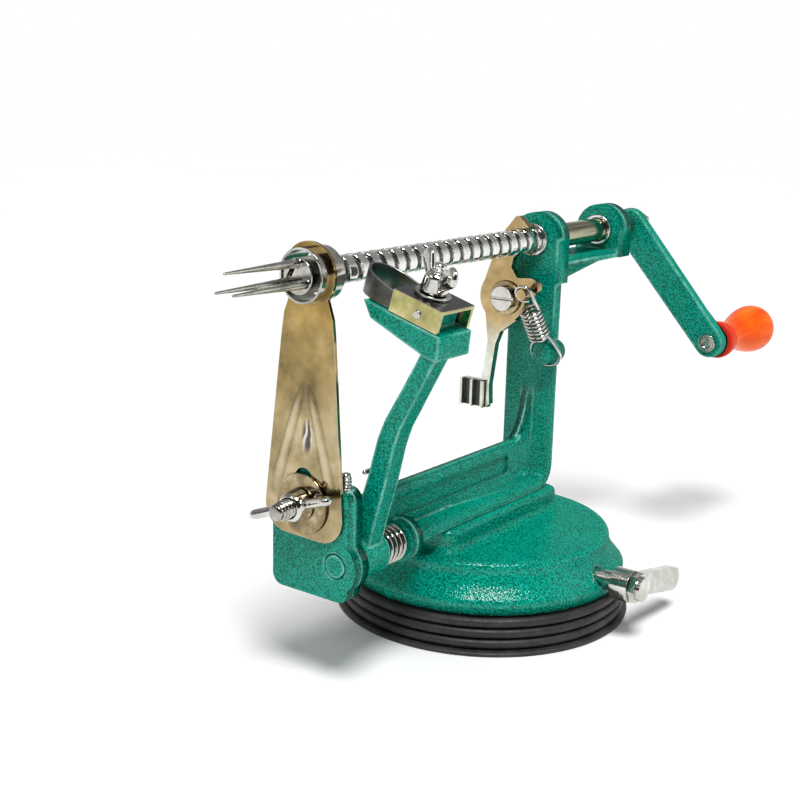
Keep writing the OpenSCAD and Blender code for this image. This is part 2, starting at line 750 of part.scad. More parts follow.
module rear_bushing() {
    color(steel) tube_x(ear2_x - bushing_front, ear2_x + ear_t + bushing_back, 0, shaft_z,
                        bushing_r, shaft_r + run_gap);
}

// Shoulder screw that the feed lever turns on
module lever_pivot_screw() {
    head_x1 = lever_x0 - face_gap - lever_washer_t;
    color(steel) difference() {
        union() {
            bar_x(head_x1 - lever_head_h, head_x1, lever_y, lever_z, lever_head_d / 2);
            bar_x(head_x1 - 0.5, column_x - lever_boss_l, lever_y, lever_z, lever_pin_d / 2);
            bar_x(column_x - lever_boss_l - 0.5, column_back_x, lever_y, lever_z, lever_pin_d * 0.35);
        }
        translate([head_x1 - lever_head_h - 1, lever_y - lever_head_d, lever_z - 0.6])
            cube([1.9, 2 * lever_head_d, 1.2]);
    }
}

module lever_washer() {
    color(steel) tube_x(lever_x0 - face_gap - lever_washer_t, lever_x0 - face_gap, lever_y, lever_z,
                        lever_washer_d / 2, lever_pin_d / 2 + press_gap);
}

module spring_anchor() {
    color(steel) translate([plate_mid_x, anchor_y, plate_top_z - anchor_sink])
        cylinder(h = anchor_sink + anchor_h, d = anchor_d);
}

module arm_pivot_pin() {
    color(enamel) bar_x(plate_x + 0.3, rear_lug_x1, arm_y, arm_z, arm_pin_d / 2);
}

// Slicing blade, its coring ring and its clamp

// Turns a shape about the drive screw so that the blade's foot lies on the stud.
module blade_place() {
    translate([0, 0, shaft_z]) rotate([blade_lean, 0, 0]) translate([0, 0, -shaft_z]) children();
}

module blade_outline() {
    foot_r2 = 9;
    half = blade_w / 2;
    shoulder = [blade_shoulder_w / 2, blade_foot_z + blade_shoulder];
    right_side = concat(
        arc_points([half - foot_r2, blade_foot_z + foot_r2], foot_r2, -90, 0, 6),
        [shoulder, shoulder + [-0.9, 7]],
        arc_points([0, shaft_z], eye_r, -42, 90, 9));
    left_side = [for (i = [len(right_side) - 2:-1:0]) [-right_side[i][0], right_side[i][1]]];
    difference() {
        polygon(concat(right_side, left_side));
        translate([0, shaft_z]) circle(r = core_r_out + press_gap);
        slot_ends = [stud_z - slot_low, stud_z + slot_top - slot_w / 2];
        for (z = slot_ends) translate([0, z]) circle(d = slot_w);
        translate([-slot_w / 2, slot_ends[0]]) square([slot_w, slot_ends[1] - slot_ends[0]]);
    }
}

module slicing_blade() {
    rib_top = blade_foot_z + rib_top_h;
    color(steel) blade_place() {
        slab_x(blade_x0, blade_t) blade_outline();
        for (s = [-1, 1]) slab_x(blade_x0 - rib_h, rib_h + 0.2)
            link([s * rib_top_y, rib_top], [s * rib_low_y, rib_top - rib_l], rib_w * 0.35, rib_w / 2);
    }
}

module coring_ring() {
    color(steel) tube_x(blade_x0 - 4, blade_x0 - 4 + core_l, 0, shaft_z, core_r_out, core_r_out - core_wall);
}

module blade_stud() {
    color(steel) bar_x(stud_x0, plate_back_x, stud_y, stud_z, stud_d / 2);
}

module blade_washer() {
    color(steel) tube_x(washer_x0, blade_x0, stud_y, stud_z, blade_washer_d / 2, stud_d / 2 + press_gap);
}

module blade_wing_nut() {
    color(steel) translate([washer_x0 - face_gap, stud_y, stud_z]) rotate([wing_angle, 0, 0]) rotate([0, -90, 0])
        rotate([0, 0, 90]) wing_nut(wing_hub_d, wing_hub_l, stud_d / 2 + run_gap, wing_span, wing_h, wing_t);
}

// Drive screw, fork, crank and handle

// Edges of the thread's profile along the screw and how much of the depth each one has.
thread_edges = [[0, 0], [flank_w, 1], [flank_w + crest_w, 1], [2 * flank_w + crest_w, 0]];
// Turn of the thread that puts the middle of a groove at the feed lever's tooth.
thread_phase = 360 * (lever_mid_x - thread_x0 - (thread_l + pitch) / 2) / pitch;
thread_rows = thread_turns * thread_steps;

function thread_angle(k) = 360 * k / thread_steps - thread_phase;
// The thread rises from nothing over the first half turn and dies away over the last.
function thread_rise(k) = min(1, 2 * min(k, thread_rows - k) / thread_steps);
function on_screw(x, r, k) = [x, r * cos(thread_angle(k)), shaft_z + r * sin(thread_angle(k))];
function thread_point(k, e) =
    on_screw(thread_x0 + pitch * k / thread_steps + e[0], root_r + thread_depth * thread_rise(k) * e[1], k);

// Helical thread as one closed skin between two flat ends: its edges run along the helix.
module screw_thread() {
    n = len(thread_edges);
    m = thread_steps;
    last = thread_rows;
    first_ring = (last + 1) * n;
    last_ring = first_ring + m;
    helix_points = [for (k = [0:last]) for (e = thread_edges) thread_point(k, e)];
    first_points = [for (k = [0:m - 1]) on_screw(thread_x0, root_r, k)];
    last_points = [for (k = [0:m - 1]) on_screw(thread_x1, root_r, last + k)];
    function at(k, j) = k * n + j;
    function first_at(k) = k % m == 0 ? at(0, 0) : first_ring + k;
    function last_at(k) = k % m == 0 ? at(last, n - 1) : last_ring + k;
    ridge = [for (k = [0:last - 1], j = [0:n - 2])
        each [[at(k, j), at(k, j + 1), at(k + 1, j)], [at(k, j + 1), at(k + 1, j + 1), at(k + 1, j)]]];
    groove = [for (k = [0:last - m - 1])
        each [[at(k, n - 1), at(k + m, 0), at(k + 1, n - 1)], [at(k + m, 0), at(k + m + 1, 0), at(k + 1, n - 1)]]];
    first_band = concat(
        [[at(0, 0), at(1, 0), first_at(1)]],
        [for (k = [1:m - 2]) each [[first_at(k), at(k, 0), first_at(k + 1)], [at(k, 0), at(k + 1, 0), first_at(k + 1)]]],
        [for (j = [0:n - 2]) [first_at(m - 1), at(0, j + 1), at(0, j)]],
        [[first_at(m - 1), at(m, 0), at(0, n - 1)], [first_at(m - 1), at(m - 1, 0), at(m, 0)]]);
    last_band = concat(
        [for (j = [0:n - 2]) [at(last, j), at(last, j + 1), last_at(1)]],
        [[at(last - m, n - 1), at(last, 0), last_at(1)], [at(last - m, n - 1), last_at(1), at(last - m + 1, n - 1)]],
        [for (k = [1:m - 2]) let (a = at(last - m + k, n - 1), b = at(last - m + k + 1, n - 1))
            each [[a, last_at(k), b], [last_at(k), last_at(k + 1), b]]],
        [[at(last - 1, n - 1), last_at(m - 1), at(last, n - 1)]]);
    first_cap = [for (k = [1:m - 2]) [first_at(0), first_at(k), first_at(k + 1)]];
    last_cap = [for (k = [1:m - 2]) [last_at(0), last_at(k + 1), last_at(k)]];
    polyhedron(points = concat(helix_points, first_points, last_points),
               faces = concat(ridge, groove, first_band, last_band, first_cap, last_cap));
}

module drive_screw() {
    color(steel) {
        bar_x(tenon_x0, thread_x0 + 1, 0, shaft_z, tenon_r);
        screw_thread();
        bar_x(thread_x1 - 1, thread_x1 + relief_l + 1, 0, shaft_z, core_r);
        bar_x(thread_x1 + relief_l, shoulder_x, 0, shaft_z, shaft_r);
        bar_x(shoulder_x - 1, stub_end_x, 0, shaft_z, stub_r);
    }
}

// Fork with three prongs that holds the fruit
module fork() {
    hub_x0 = thread_x0 - fork_hub_l;
    color(steel) {
        tube_x(hub_x0 + fork_face_t, thread_x0, 0, shaft_z, fork_hub_r, tenon_r + press_gap);
        bar_x(hub_x0, hub_x0 + fork_face_t, 0, shaft_z, fork_hub_r);
        for (a = [90, 210, 330]) translate([hub_x0 + 0.5, prong_ring_r * cos(a), shaft_z + prong_ring_r * sin(a)])
            rotate([0, -90, 0]) cylinder(h = prong_l + 0.5, r1 = prong_d / 2, r2 = prong_tip_r);
    }
}

module thrust_washer() {
    color(steel) tube_x(shoulder_x + face_gap, shoulder_x + face_gap + washer_t, 0, shaft_z,
                        washer_d / 2, stub_r + run_gap);
}

module crank_spacer() {
    color(steel) tube_x(shoulder_x + 2 * face_gap + washer_t, crank_x, 0, shaft_z, spacer_d / 2, stub_r + press_gap);
}

module crank_arm() {
    hub = [0, shaft_z];
    end = [handle_y, handle_z];
    color(enamel) difference() {
        union() {
            slab_x(crank_x, crank_t) link(hub, end, crank_w / 2, crank_end_r);
            bar_x(crank_x + crank_t - 1, crank_x + crank_t + crank_boss_l, handle_y, handle_z, crank_end_r - 0.5);
        }
        bar_x(crank_x - 1, crank_x + crank_t + 1, 0, shaft_z, stub_r + press_gap);
        bar_x(crank_x - 1, knob_x, handle_y, handle_z, axle_d / 2 + press_gap);
    }
}

module crank_nut() {
    color(steel) hex_x(crank_x + crank_t, crank_nut_h, 0, shaft_z, crank_nut_af, stub_r + press_gap);
}

module handle_axle() {
    color(steel) difference() {
        union() {
            bar_x(crank_x - axle_head_h, crank_x, handle_y, handle_z, axle_head_d / 2);
            bar_x(crank_x - 0.5, knob_x + axle_depth, handle_y, handle_z, axle_d / 2);
        }
        bar_x(crank_x - axle_head_h - 1, crank_x - axle_head_h + 1, handle_y, handle_z, axle_head_d * 0.27);
    }
}

// Turned handle: a collar, a neck and a bulb.
knob_neck_f = 0.22;
function knob_radius(f) = f < knob_neck_f
    ? knob_neck_d / 2 + 1.2 * pow(1 - f / knob_neck_f, 2)
    : knob_neck_d / 2 + (knob_d - knob_neck_d) / 2 * (1 - cos(180 * (f - knob_neck_f) / (1 - knob_neck_f))) / 2;

module handle_knob() {
    bulb_r = knob_d / 2;
    body_l = knob_l - bulb_r;
    body_points = [for (f = [0:0.1:1]) [knob_radius(f), knob_collar_l + (body_l - knob_collar_l) * f]];
    end_points = [for (a = [10:10:90]) [bulb_r * cos(a), body_l + bulb_r * sin(a)]];
    collar_r = knob_collar_d / 2;
    bore_r = axle_d / 2 + run_gap;
    color(handle_orange) translate([knob_x, handle_y, handle_z]) rotate([0, 90, 0]) rotate_extrude() polygon(concat(
        [[bore_r, 0], [collar_r - 1, 0], [collar_r, 1], [collar_r, knob_collar_l - 1.5], [collar_r - 1, knob_collar_l - 0.5]],
        body_points, end_points, [[0, axle_depth + 0.3], [bore_r, axle_depth + 0.3]]));
}

// Feed lever that hooks into the thread

module lever_outline() {
    hook = [0, shaft_z];
    difference() {
        union() {
            translate([lever_y + 1.8, lever_z]) circle(r = lever_body_r);
            polygon([[lever_y + 11.1, lever_z + 3.5], [12.7, shaft_z - 7.8], [10.5, shaft_z - 2], [7.3, shaft_z + 3.7],
                     [2.6, shaft_z + 9.4], [1.2, shaft_z + 9.6], [-3, shaft_z + 5.7], [-3, shaft_z],
                     [3.0, shaft_z - 6.6], [3.8, shaft_z - 10.3], [0.4, lever_z + 7.3], [lever_y - 8, lever_z]]);
            polygon([[lever_y + 9.5, lever_z - 5], [13.2, lever_z - 18.2], [15.4, lever_z - 33],
                     [finger_y + 0.4, finger_z - 0.2], [finger_y - 2, finger_z + 1.5], [11.8, lever_z - 36],
                     [9.6, lever_z - 19], [7.6, lever_z - 13.8], [0.4, lever_z - 8.4]]);
            translate([finger_y - 1, finger_z]) square([tab_w + 1, tab_h]);
            link([lever_y - 4, lever_z + 3], [tail_y + 0.4, tail_z + 2], 5, 3.4);
        }
        translate(hook) circle(r = hook_r);
        translate(hook + [-hook_r - 3, -hook_r]) square([hook_r + 3, hook_r]);
        translate([lever_y, lever_z]) circle(r = lever_pin_d / 2 + run_gap);
    }
}

module feed_lever() {
    color(steel) {
        slab_x(lever_x0, lever_t) lever_outline();
        translate([lever_mid_x - tooth_w / 2, 0, shaft_z]) rotate([0, 90, 0]) rotate([0, 0, 90 - tooth_half_angle])
            rotate_extrude(angle = 2 * tooth_half_angle)
                translate([shaft_r - tooth_reach, 0]) square([tooth_reach + hook_gap + 1, tooth_w]);
        for (i = [0:tab_ribs]) translate([lever_x0 - 2, finger_y + i * (tab_w - tab_rib_w) / tab_ribs, finger_z])
            cube([2.5, tab_rib_w, tab_h]);
        bar_x(lever_x0 - tail_peg_l, lever_x0 + 0.5, tail_y, tail_z, tail_peg_d / 2);
    }
}

module lever_spring() {
    color(steel) wire(lever_spring_points, lever_wire_d / 2);
}

// Peeling arm with its sprung hub and sloping head

// Moves the head's own frame into place: x across the holder, y toward the blade's nose, z out of its top.
module head_place() {
    translate([head_x, head_y, head_z]) rotate([head_tilt, 0, 0]) children();
}

module arm_outline() {
    last = len(arm_line) - 1;
    polygon(concat([for (i = [0:last]) arm_line[i] + arm_half(i) * arm_side(i)],
                   [for (i = [last:-1:0]) arm_line[i] - arm_half(i) * arm_side(i)]));
}

module head_block() {
    half = holder_w / 2;
    slab_x(-half, holder_w) polygon([[holder_l + block_over, -block_top], [holder_l + block_over - 4.2, -block_h * 0.6],
                                     [holder_l - 3, -block_h * 0.76], [2, -block_h], [-2.6, -block_h * 0.95],
                                     [-1.3, -block_top]]);
    translate([-tongue_half, tongue_u[0], -1])
        cube([2 * tongue_half, tongue_u[1] - tongue_u[0], holder_h - holder_t + 1]);
}

module peeling_arm() {
    color(enamel) difference() {
        union() {
            slab_x(arm_x0, arm_t) arm_outline();
            bar_x(arm_hub_x0, arm_hub_x1, arm_y, arm_z, arm_hub_d / 2);
            head_place() head_block();
        }
        bar_x(arm_hub_x0 - 1, arm_hub_x1 + 1, arm_y, arm_z, arm_pin_d / 2 + run_gap);
        head_place() translate([0, bolt_u, -bolt_sink])
            cylinder(h = bolt_sink + holder_h, d = holder_bolt_d + 2 * press_gap);
    }
}

module arm_spring() {
    color(steel) wire(arm_spring_points, arm_wire_d / 2);
}

// Folded channel that clamps the peeling blade
module blade_holder() {
    half = holder_w / 2;
    color(steel) head_place() difference() {
        translate([-half, 0, 0]) cube([holder_w, holder_l, holder_h]);
        translate([-half + holder_t, -1, -1]) cube([holder_w - 2 * holder_t, holder_l + 2, holder_h - holder_t + 1]);
        translate([0, bolt_u, 0]) cylinder(h = holder_h + 1, d = holder_bolt_d + 2 * press_gap);
        bar_x(-half - 1, half + 1, rivet_u, holder_h * 0.42, rivet_d / 2 + press_gap);
    }
}

// Outline of the hairpin blade between its two ends and its nose.
function hairpin(half, low, nose) = concat(
    [[-half, low]],
    [for (a = [180:-10:0]) [half * cos(a), peel_reach - nose_l + nose * sin(a)]],
    [[half, low]]);

module peeling_blade() {
    low = tongue_u[0] - 1;
    color(steel) head_place() translate([0, 0, 0.2]) difference() {
        intersection() {
            linear_extrude(height = blade_h + nose_rise) difference() {
                polygon(hairpin(blade_half, low, nose_l));
                polygon(hairpin(blade_half - peel_blade_t, low - 1, nose_l - peel_blade_t));
            }
            slab_x(-holder_w / 2, holder_w) polygon([
                [low - 2, -1], [peel_reach + 1, -1], [peel_reach + 1, blade_h + nose_rise], [peel_reach, blade_h + nose_rise],
                [holder_l + 0.6, blade_h], [low - 2, blade_h]]);
        }
        bar_x(-blade_half - 1, blade_half + 1, rivet_u, holder_h * 0.42 - 0.2, rivet_d / 2 + press_gap);
    }
}

module blade_rivets() {
    half = holder_w / 2;
    color(steel) head_place() for (s = [-1, 1])
        bar_x(s > 0 ? tongue_half + 0.1 : -half - 0.5, s > 0 ? half + 0.5 : -tongue_half - 0.1,
              rivet_u, holder_h * 0.42, rivet_d / 2);
}

module holder_bolt() {
    color(steel) head_place() translate([0, bolt_u, -bolt_sink])
        cylinder(h = bolt_sink + holder_h + holder_washer_t + holder_nut_h + bolt_over, d = holder_bolt_d);
}

module holder_washer() {
    color(steel) head_place() translate([0, bolt_u, holder_h]) difference() {
        cylinder(h = holder_washer_t, d = holder_washer_d);
        translate([0, 0, -1]) cylinder(h = holder_washer_t + 2, d = holder_bolt_d + 2 * press_gap);
    }
}

module holder_wing_nut() {
    color(steel) head_place() translate([0, bolt_u, holder_h + holder_washer_t + face_gap]) rotate([0, 0, holder_wing_turn])
        wing_nut(holder_nut_d, holder_nut_h, holder_bolt_d / 2 + run_gap, holder_wing_span, holder_wing_h, holder_wing_t);
}

suction_base();
suction_pad();
base_screws();
cam_shaft();
suction_lever();
suction_lever_nut();
draw_stem();
frame();
front_bushing();
rear_bushing();
lever_pivot_screw();
lever_washer();
spring_anchor();
arm_pivot_pin();
blade_stud();
blade_washer();
blade_wing_nut();
slicing_blade();
coring_ring();
thrust_washer();
drive_screw();
fork();
crank_spacer();
crank_arm();
crank_nut();
handle_axle();
handle_knob();
feed_lever();
lever_spring();
peeling_arm();
arm_spring();
blade_holder();
peeling_blade();
blade_rivets();
holder_bolt();
holder_washer();
holder_wing_nut();
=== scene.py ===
import math

import bmesh
import bpy
from mathutils import Matrix, Vector
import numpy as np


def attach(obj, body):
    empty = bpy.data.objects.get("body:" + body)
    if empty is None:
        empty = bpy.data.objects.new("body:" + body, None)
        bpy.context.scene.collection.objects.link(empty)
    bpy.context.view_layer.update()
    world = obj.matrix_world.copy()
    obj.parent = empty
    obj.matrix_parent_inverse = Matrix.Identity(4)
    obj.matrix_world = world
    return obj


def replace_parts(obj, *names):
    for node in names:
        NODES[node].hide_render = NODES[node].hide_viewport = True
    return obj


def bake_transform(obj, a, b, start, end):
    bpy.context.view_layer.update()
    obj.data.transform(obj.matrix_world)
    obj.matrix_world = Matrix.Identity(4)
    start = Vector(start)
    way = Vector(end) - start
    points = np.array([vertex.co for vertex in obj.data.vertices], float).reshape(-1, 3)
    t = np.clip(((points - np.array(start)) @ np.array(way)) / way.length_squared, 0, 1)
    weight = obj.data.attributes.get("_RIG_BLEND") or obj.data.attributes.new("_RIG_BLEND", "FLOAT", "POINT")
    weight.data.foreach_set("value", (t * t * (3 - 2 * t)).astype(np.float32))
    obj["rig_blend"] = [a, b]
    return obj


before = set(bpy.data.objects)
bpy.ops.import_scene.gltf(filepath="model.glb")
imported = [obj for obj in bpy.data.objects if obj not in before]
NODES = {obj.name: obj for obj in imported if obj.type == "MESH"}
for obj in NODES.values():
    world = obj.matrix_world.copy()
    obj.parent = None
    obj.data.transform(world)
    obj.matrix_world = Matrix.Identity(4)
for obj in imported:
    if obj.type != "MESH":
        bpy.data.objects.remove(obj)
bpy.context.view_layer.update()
MM = 0.001

# Main sizes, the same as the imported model's
SHAFT_Z = 139.0
SHAFT_R = 4.75
ROOT_R = 3.75
PITCH = 6.35
THREAD_X0 = -102.6
THREAD_TURNS = 21
THREAD_L = 0.7 * PITCH
THREAD_X1 = THREAD_X0 + THREAD_TURNS * PITCH + THREAD_L
GROOVE_X1 = THREAD_X1 + 1.5
SMOOTH_X0 = THREAD_X1 + 2.0
LEVER_MID_X = 19.3
THREAD_PHASE = 360 * (LEVER_MID_X - THREAD_X0 - (THREAD_L + PITCH) / 2) / PITCH
HEAD_PLACE = (-84.4, -40.0, 123.8)
HEAD_TILT = 16.0
HOLDER_H = 7.4
HOLDER_BOLT_U = 10.4
STUD = (1.8, 64.6)
BLADE_LEAN = math.degrees(math.atan2(STUD[0], SHAFT_Z - STUD[1]))
ARM_PIVOT = (-10.3, 45.3)
ARM_TOP = (-39.0, 116.3)
ARM_WIRE_R = 0.8
HANDLE_X0 = 113.1
HANDLE_CENTRE = (-41.083, 92.565)

# Saddle of the base, which carries the frame
BASE_TOP_Z = 32.0
SADDLE_EDGES_ABOVE = 39.5
SADDLE_INNER_Y = 6.0
SADDLE_OUTER_Y = 13.1
SADDLE_X = (-41.6, 34.6)
LEVEL_SLACK = 0.3

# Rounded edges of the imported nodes
EDGE_ANGLE = 32.0
EDGE_SEGMENTS = 3
FILLET_SEGMENTS = 5
FLAT_ANGLE = 1.0
WELD_GAP = 0.004
CLOSE_GAP = 0.04


# Camera at the photograph's angle
def make_camera():
    """A camera at a place in millimetres, turned by yaw, pitch and roll in radians."""
    place = Vector((-409.196, -262.580, 198.917)) * MM
    yaw = 0.640277
    pitch = 0.242246
    roll = 0.025001
    forward = Vector((math.cos(pitch) * math.cos(yaw), math.cos(pitch) * math.sin(yaw), -math.sin(pitch)))
    level = Vector((math.sin(yaw), -math.cos(yaw), 0.0))
    upright = level.cross(forward)
    right = level * math.cos(roll) + upright * math.sin(roll)
    up = upright * math.cos(roll) - level * math.sin(roll)
    data = bpy.data.cameras.new("camera")
    data.lens = 58.90
    data.sensor_width = 36.0
    data.sensor_fit = "HORIZONTAL"
    data.clip_start = 0.01
    data.clip_end = 30.0
    camera = bpy.data.objects.new("camera", data)
    camera.matrix_world = Matrix((
        (right.x, up.x, -forward.x, place.x),
        (right.y, up.y, -forward.y, place.y),
        (right.z, up.z, -forward.z, place.z),
        (0.0, 0.0, 0.0, 1.0)))
    bpy.context.scene.collection.objects.link(camera)
    bpy.context.scene.camera = camera


# Node helpers
def node(tree, kind, inputs=None, **settings):
    """A shader node; an input is linked where its value is a socket, and set where it is a number."""
    made = tree.nodes.new(kind)
    for key, value in settings.items():
        setattr(made, key, value)
    for key, value in (inputs or {}).items():
        if isinstance(value, bpy.types.NodeSocket):
            tree.links.new(value, made.inputs[key])
        else:
            made.inputs[key].default_value = value
    return made


def ramp(tree, factor, stops):
    """A colour that runs through stops, each a place from 0 to 1 and a colour."""
    made = node(tree, "ShaderNodeValToRGB", {"Fac": factor})
    elements = made.color_ramp.elements
    while len(elements) < len(stops):
        elements.new(0.5)
    for element, (place, colour) in zip(elements, stops):
        element.position = place
        element.color = (*colour, 1.0)
    return made.outputs["Color"]


def grey(value):
    return (value, value, value)


def math_node(tree, operation, a, b=0.0):
    return node(tree, "ShaderNodeMath", {0: a, 1: b}, operation=operation).outputs[0]


def scaled(tree, value, factor):
    return math_node(tree, "MULTIPLY", value, factor)


def weighted(tree, a, share_a, b, share_b):
    return math_node(tree, "ADD", scaled(tree, a, share_a), scaled(tree, b, share_b))


def vector_math(tree, operation, a, b=(0.0, 0.0, 0.0), output="Vector"):
    return node(tree, "ShaderNodeVectorMath", {0: a, 1: b}, operation=operation).outputs[output]


def map_range(tree, value, low, high, to_low=0.0, to_high=1.0):
    """A value taken from the range low to high onto the range to_low to to_high."""
    made = node(tree, "ShaderNodeMapRange", {
        "Value": value, "From Min": low, "From Max": high, "To Min": to_low, "To Max": to_high})
    return made.outputs["Result"]


def mix_colour(tree, factor, a, b, blend="MIX"):
    made = tree.nodes.new("ShaderNodeMix")
    made.data_type = "RGBA"
    made.blend_type = blend
    for key, value in ((0, factor), (6, a), (7, b)):
        if isinstance(value, bpy.types.NodeSocket):
            tree.links.new(value, made.inputs[key])
        else:
            made.inputs[key].default_value = value if key == 0 else (*value, 1.0)
    return made.outputs[2]


def start_material(name):
    """A new material with its tree, its shader and the object's own coordinates."""
    material = bpy.data.materials.new(name)
    material.use_nodes = True
    tree = material.node_tree
    shader = tree.nodes["Principled BSDF"]
    coords = node(tree, "ShaderNodeTexCoord").outputs["Object"]
    return material, tree, shader, coords


def noise(tree, coords, scale, detail=3.0, rough=0.55, stretch=None):
    """Noise from 0 to 1; stretch scales the coordinates before it."""
    if stretch:
        coords = node(tree, "ShaderNodeMapping", {"Vector": coords, "Scale": stretch}).outputs["Vector"]
    inputs = {"Vector": coords, "Scale": scale, "Detail": detail, "Roughness": rough}
    return node(tree, "ShaderNodeTexNoise", inputs).outputs["Fac"]


def edge_mask(tree, radius, low, high):
    """White along the edges of a solid, from how far a rounded normal leans away from the true one."""
    rounded = node(tree, "ShaderNodeBevel", {"Radius": radius}, samples=4).outputs["Normal"]
    true = node(tree, "ShaderNodeNewGeometry").outputs["Normal"]
    lean = vector_math(tree, "DOT_PRODUCT", rounded, true, output="Value")
    return map_range(tree, math_node(tree, "SUBTRACT", 1.0, lean), low, high)


def corner_shade_mask(tree, reach, low, high):
    """White deep in corners and grooves, where painted shade goes."""
    shade = node(tree, "ShaderNodeAmbientOcclusion", {"Distance": reach}, samples=6).outputs["AO"]
    return map_range(tree, math_node(tree, "SUBTRACT", 1.0, shade), low, high)


def box_mask(tree, coords, low, high):
    """White inside a box given by two corners in millimetres."""
    middle = [(a + b) / 2 * MM for a, b in zip(low, high)]
    half = [(b - a) / 2 * MM for a, b in zip(low, high)]
    away = vector_math(tree, "ABSOLUTE", vector_math(tree, "SUBTRACT", coords, middle))
    share = vector_math(tree, "DIVIDE", away, half)
    x, y, z = node(tree, "ShaderNodeSeparateXYZ", {"Vector": share}).outputs
    farthest = math_node(tree, "MAXIMUM", math_node(tree, "MAXIMUM", x, y), z)
    return math_node(tree, "LESS_THAN", farthest, 1.0)


def set_bump(tree, shader, height, strength, distance, socket="Normal"):
    made = node(tree, "ShaderNodeBump", {"Height": height, "Strength": strength, "Distance": distance})
    tree.links.new(made.outputs["Normal"], shader.inputs[socket])


# Materials
def make_enamel():
    """Hammered green enamel: small raised cells, darker between them, painted shade in corners and a painted
    highlight along the edges.
    """
    material, tree, shader, coords = start_material("green_enamel")
    drift = {"Vector": coords, "Scale": 300.0, "Detail": 2.0}
    warp = node(tree, "ShaderNodeTexNoise", drift).outputs["Color"]
    bent = node(tree, "ShaderNodeMix", {0: 0.0012, 4: coords, 5: warp}, data_type="VECTOR").outputs[1]
    cells = node(tree, "ShaderNodeTexVoronoi", {"Vector": bent, "Scale": 1600.0, "Smoothness": 0.3},
                 feature="SMOOTH_F1").outputs["Distance"]
    fine = noise(tree, coords, 2600.0, detail=2.0)
    slow = noise(tree, coords, 45.0)
    colour = ramp(tree, weighted(tree, cells, 0.8, fine, 0.5), [
        (0.28, (0.030, 0.560, 0.420)),
        (0.44, (0.004, 0.430, 0.310)),
        (0.60, (0.001, 0.310, 0.218)),
        (0.80, (0.000, 0.150, 0.102))])
    tint = ramp(tree, slow, [(0.3, (0.84, 0.88, 0.86)), (0.7, (1.0, 1.0, 1.0))])
    colour = mix_colour(tree, 1.0, colour, tint, "MULTIPLY")
    # Painted shade: the green goes darker deep in corners and creases.
    painted_corner_shade = scaled(tree, corner_shade_mask(tree, reach=0.0022, low=0.30, high=0.75), 0.75)
    colour = mix_colour(tree, painted_corner_shade, colour, (0.000, 0.045, 0.030))
    # Painted highlight: the edges go pale mint, in broken patches.
    patches = ramp(tree, noise(tree, coords, 220.0, detail=4.0), [(0.36, grey(0.25)), (0.62, grey(0.95))])
    painted_edge_highlight = scaled(tree, edge_mask(tree, radius=0.0015, low=0.012, high=0.13), patches)
    colour = mix_colour(tree, painted_edge_highlight, colour, (0.340, 0.780, 0.680))
    tree.links.new(colour, shader.inputs["Base Color"])
    rough = ramp(tree, fine, [(0.25, grey(0.20)), (0.75, grey(0.36))])
    tree.links.new(rough, shader.inputs["Roughness"])
    shader.inputs["Specular IOR Level"].default_value = 0.0
    shader.inputs["Coat Weight"].default_value = 0.12
    shader.inputs["Coat IOR"].default_value = 2.5
    shader.inputs["Coat Roughness"].default_value = 0.06
    height = weighted(tree, cells, -0.7, noise(tree, coords, 750.0, detail=2.0), 1.2)
    set_bump(tree, shader, height, strength=0.55, distance=0.0005)
    set_bump(tree, shader, height, strength=0.30, distance=0.0005, socket="Coat Normal")
    return material


def tint_along(tree, coords, colour, stains, direction, low, high, tint):
    """A colour that takes on a tint between two distances along a direction, with a border that wanders."""
    along = vector_math(tree, "DOT_PRODUCT", coords, direction, output="Value")
    wander = scaled(tree, math_node(tree, "SUBTRACT", stains, 0.5), 1.4 * (high - low))
    share = map_range(tree, math_node(tree, "ADD", along, wander), low, high)
    return mix_colour(tree, share, colour, mix_colour(tree, 1.0, colour, tint, "MULTIPLY"))


def press_sheet(tree, coords, colour, relief):
    """A colour for pressed sheet: painted shade beside the ribs, a painted highlight on them, painted
    reflection streaks in the dent, and pits.
    """
    height = node(tree, "ShaderNodeAttribute", attribute_name=relief).outputs["Fac"]
    level = map_range(tree, height, -0.5, 1.0)
    # Painted shade: darker on the flanks beside the ribs.
    rib_flank_shade = ramp(tree, level, [(0.333, grey(1.0)), (0.42, grey(0.66)), (0.62, grey(1.0))])
    colour = mix_colour(tree, 1.0, colour, rib_flank_shade, "MULTIPLY")
    # Painted highlight: brighter and paler along the rib crests.
    crest = scaled(tree, map_range(tree, level, 0.58, 0.80), 0.55)
    colour = mix_colour(tree, crest, colour, (0.70, 0.62, 0.46))
    # Painted reflection: dark and bright wavy strokes in the dent.
    bands = {"Vector": coords, "Scale": 120.0, "Distortion": 5.0, "Detail": 1.5, "Detail Scale": 1.2}
    waves = node(tree, "ShaderNodeTexWave", bands, bands_direction="Y").outputs["Fac"]
    strokes = ramp(tree, waves, [
        (0.25, (0.035, 0.040, 0.055)),
        (0.55, (0.16, 0.15, 0.13)),
        (0.85, (0.72, 0.70, 0.66))])
    hollow = scaled(tree, map_range(tree, level, 0.25, 0.12), 0.85)
    colour = mix_colour(tree, hollow, colour, strokes)
    specks = noise(tree, coords, 170.0, detail=6.0, rough=0.7)
    pits = ramp(tree, specks, [(0.66, grey(0.0)), (0.71, grey(0.65))])
    return mix_colour(tree, pits, colour, (0.050, 0.045, 0.030))


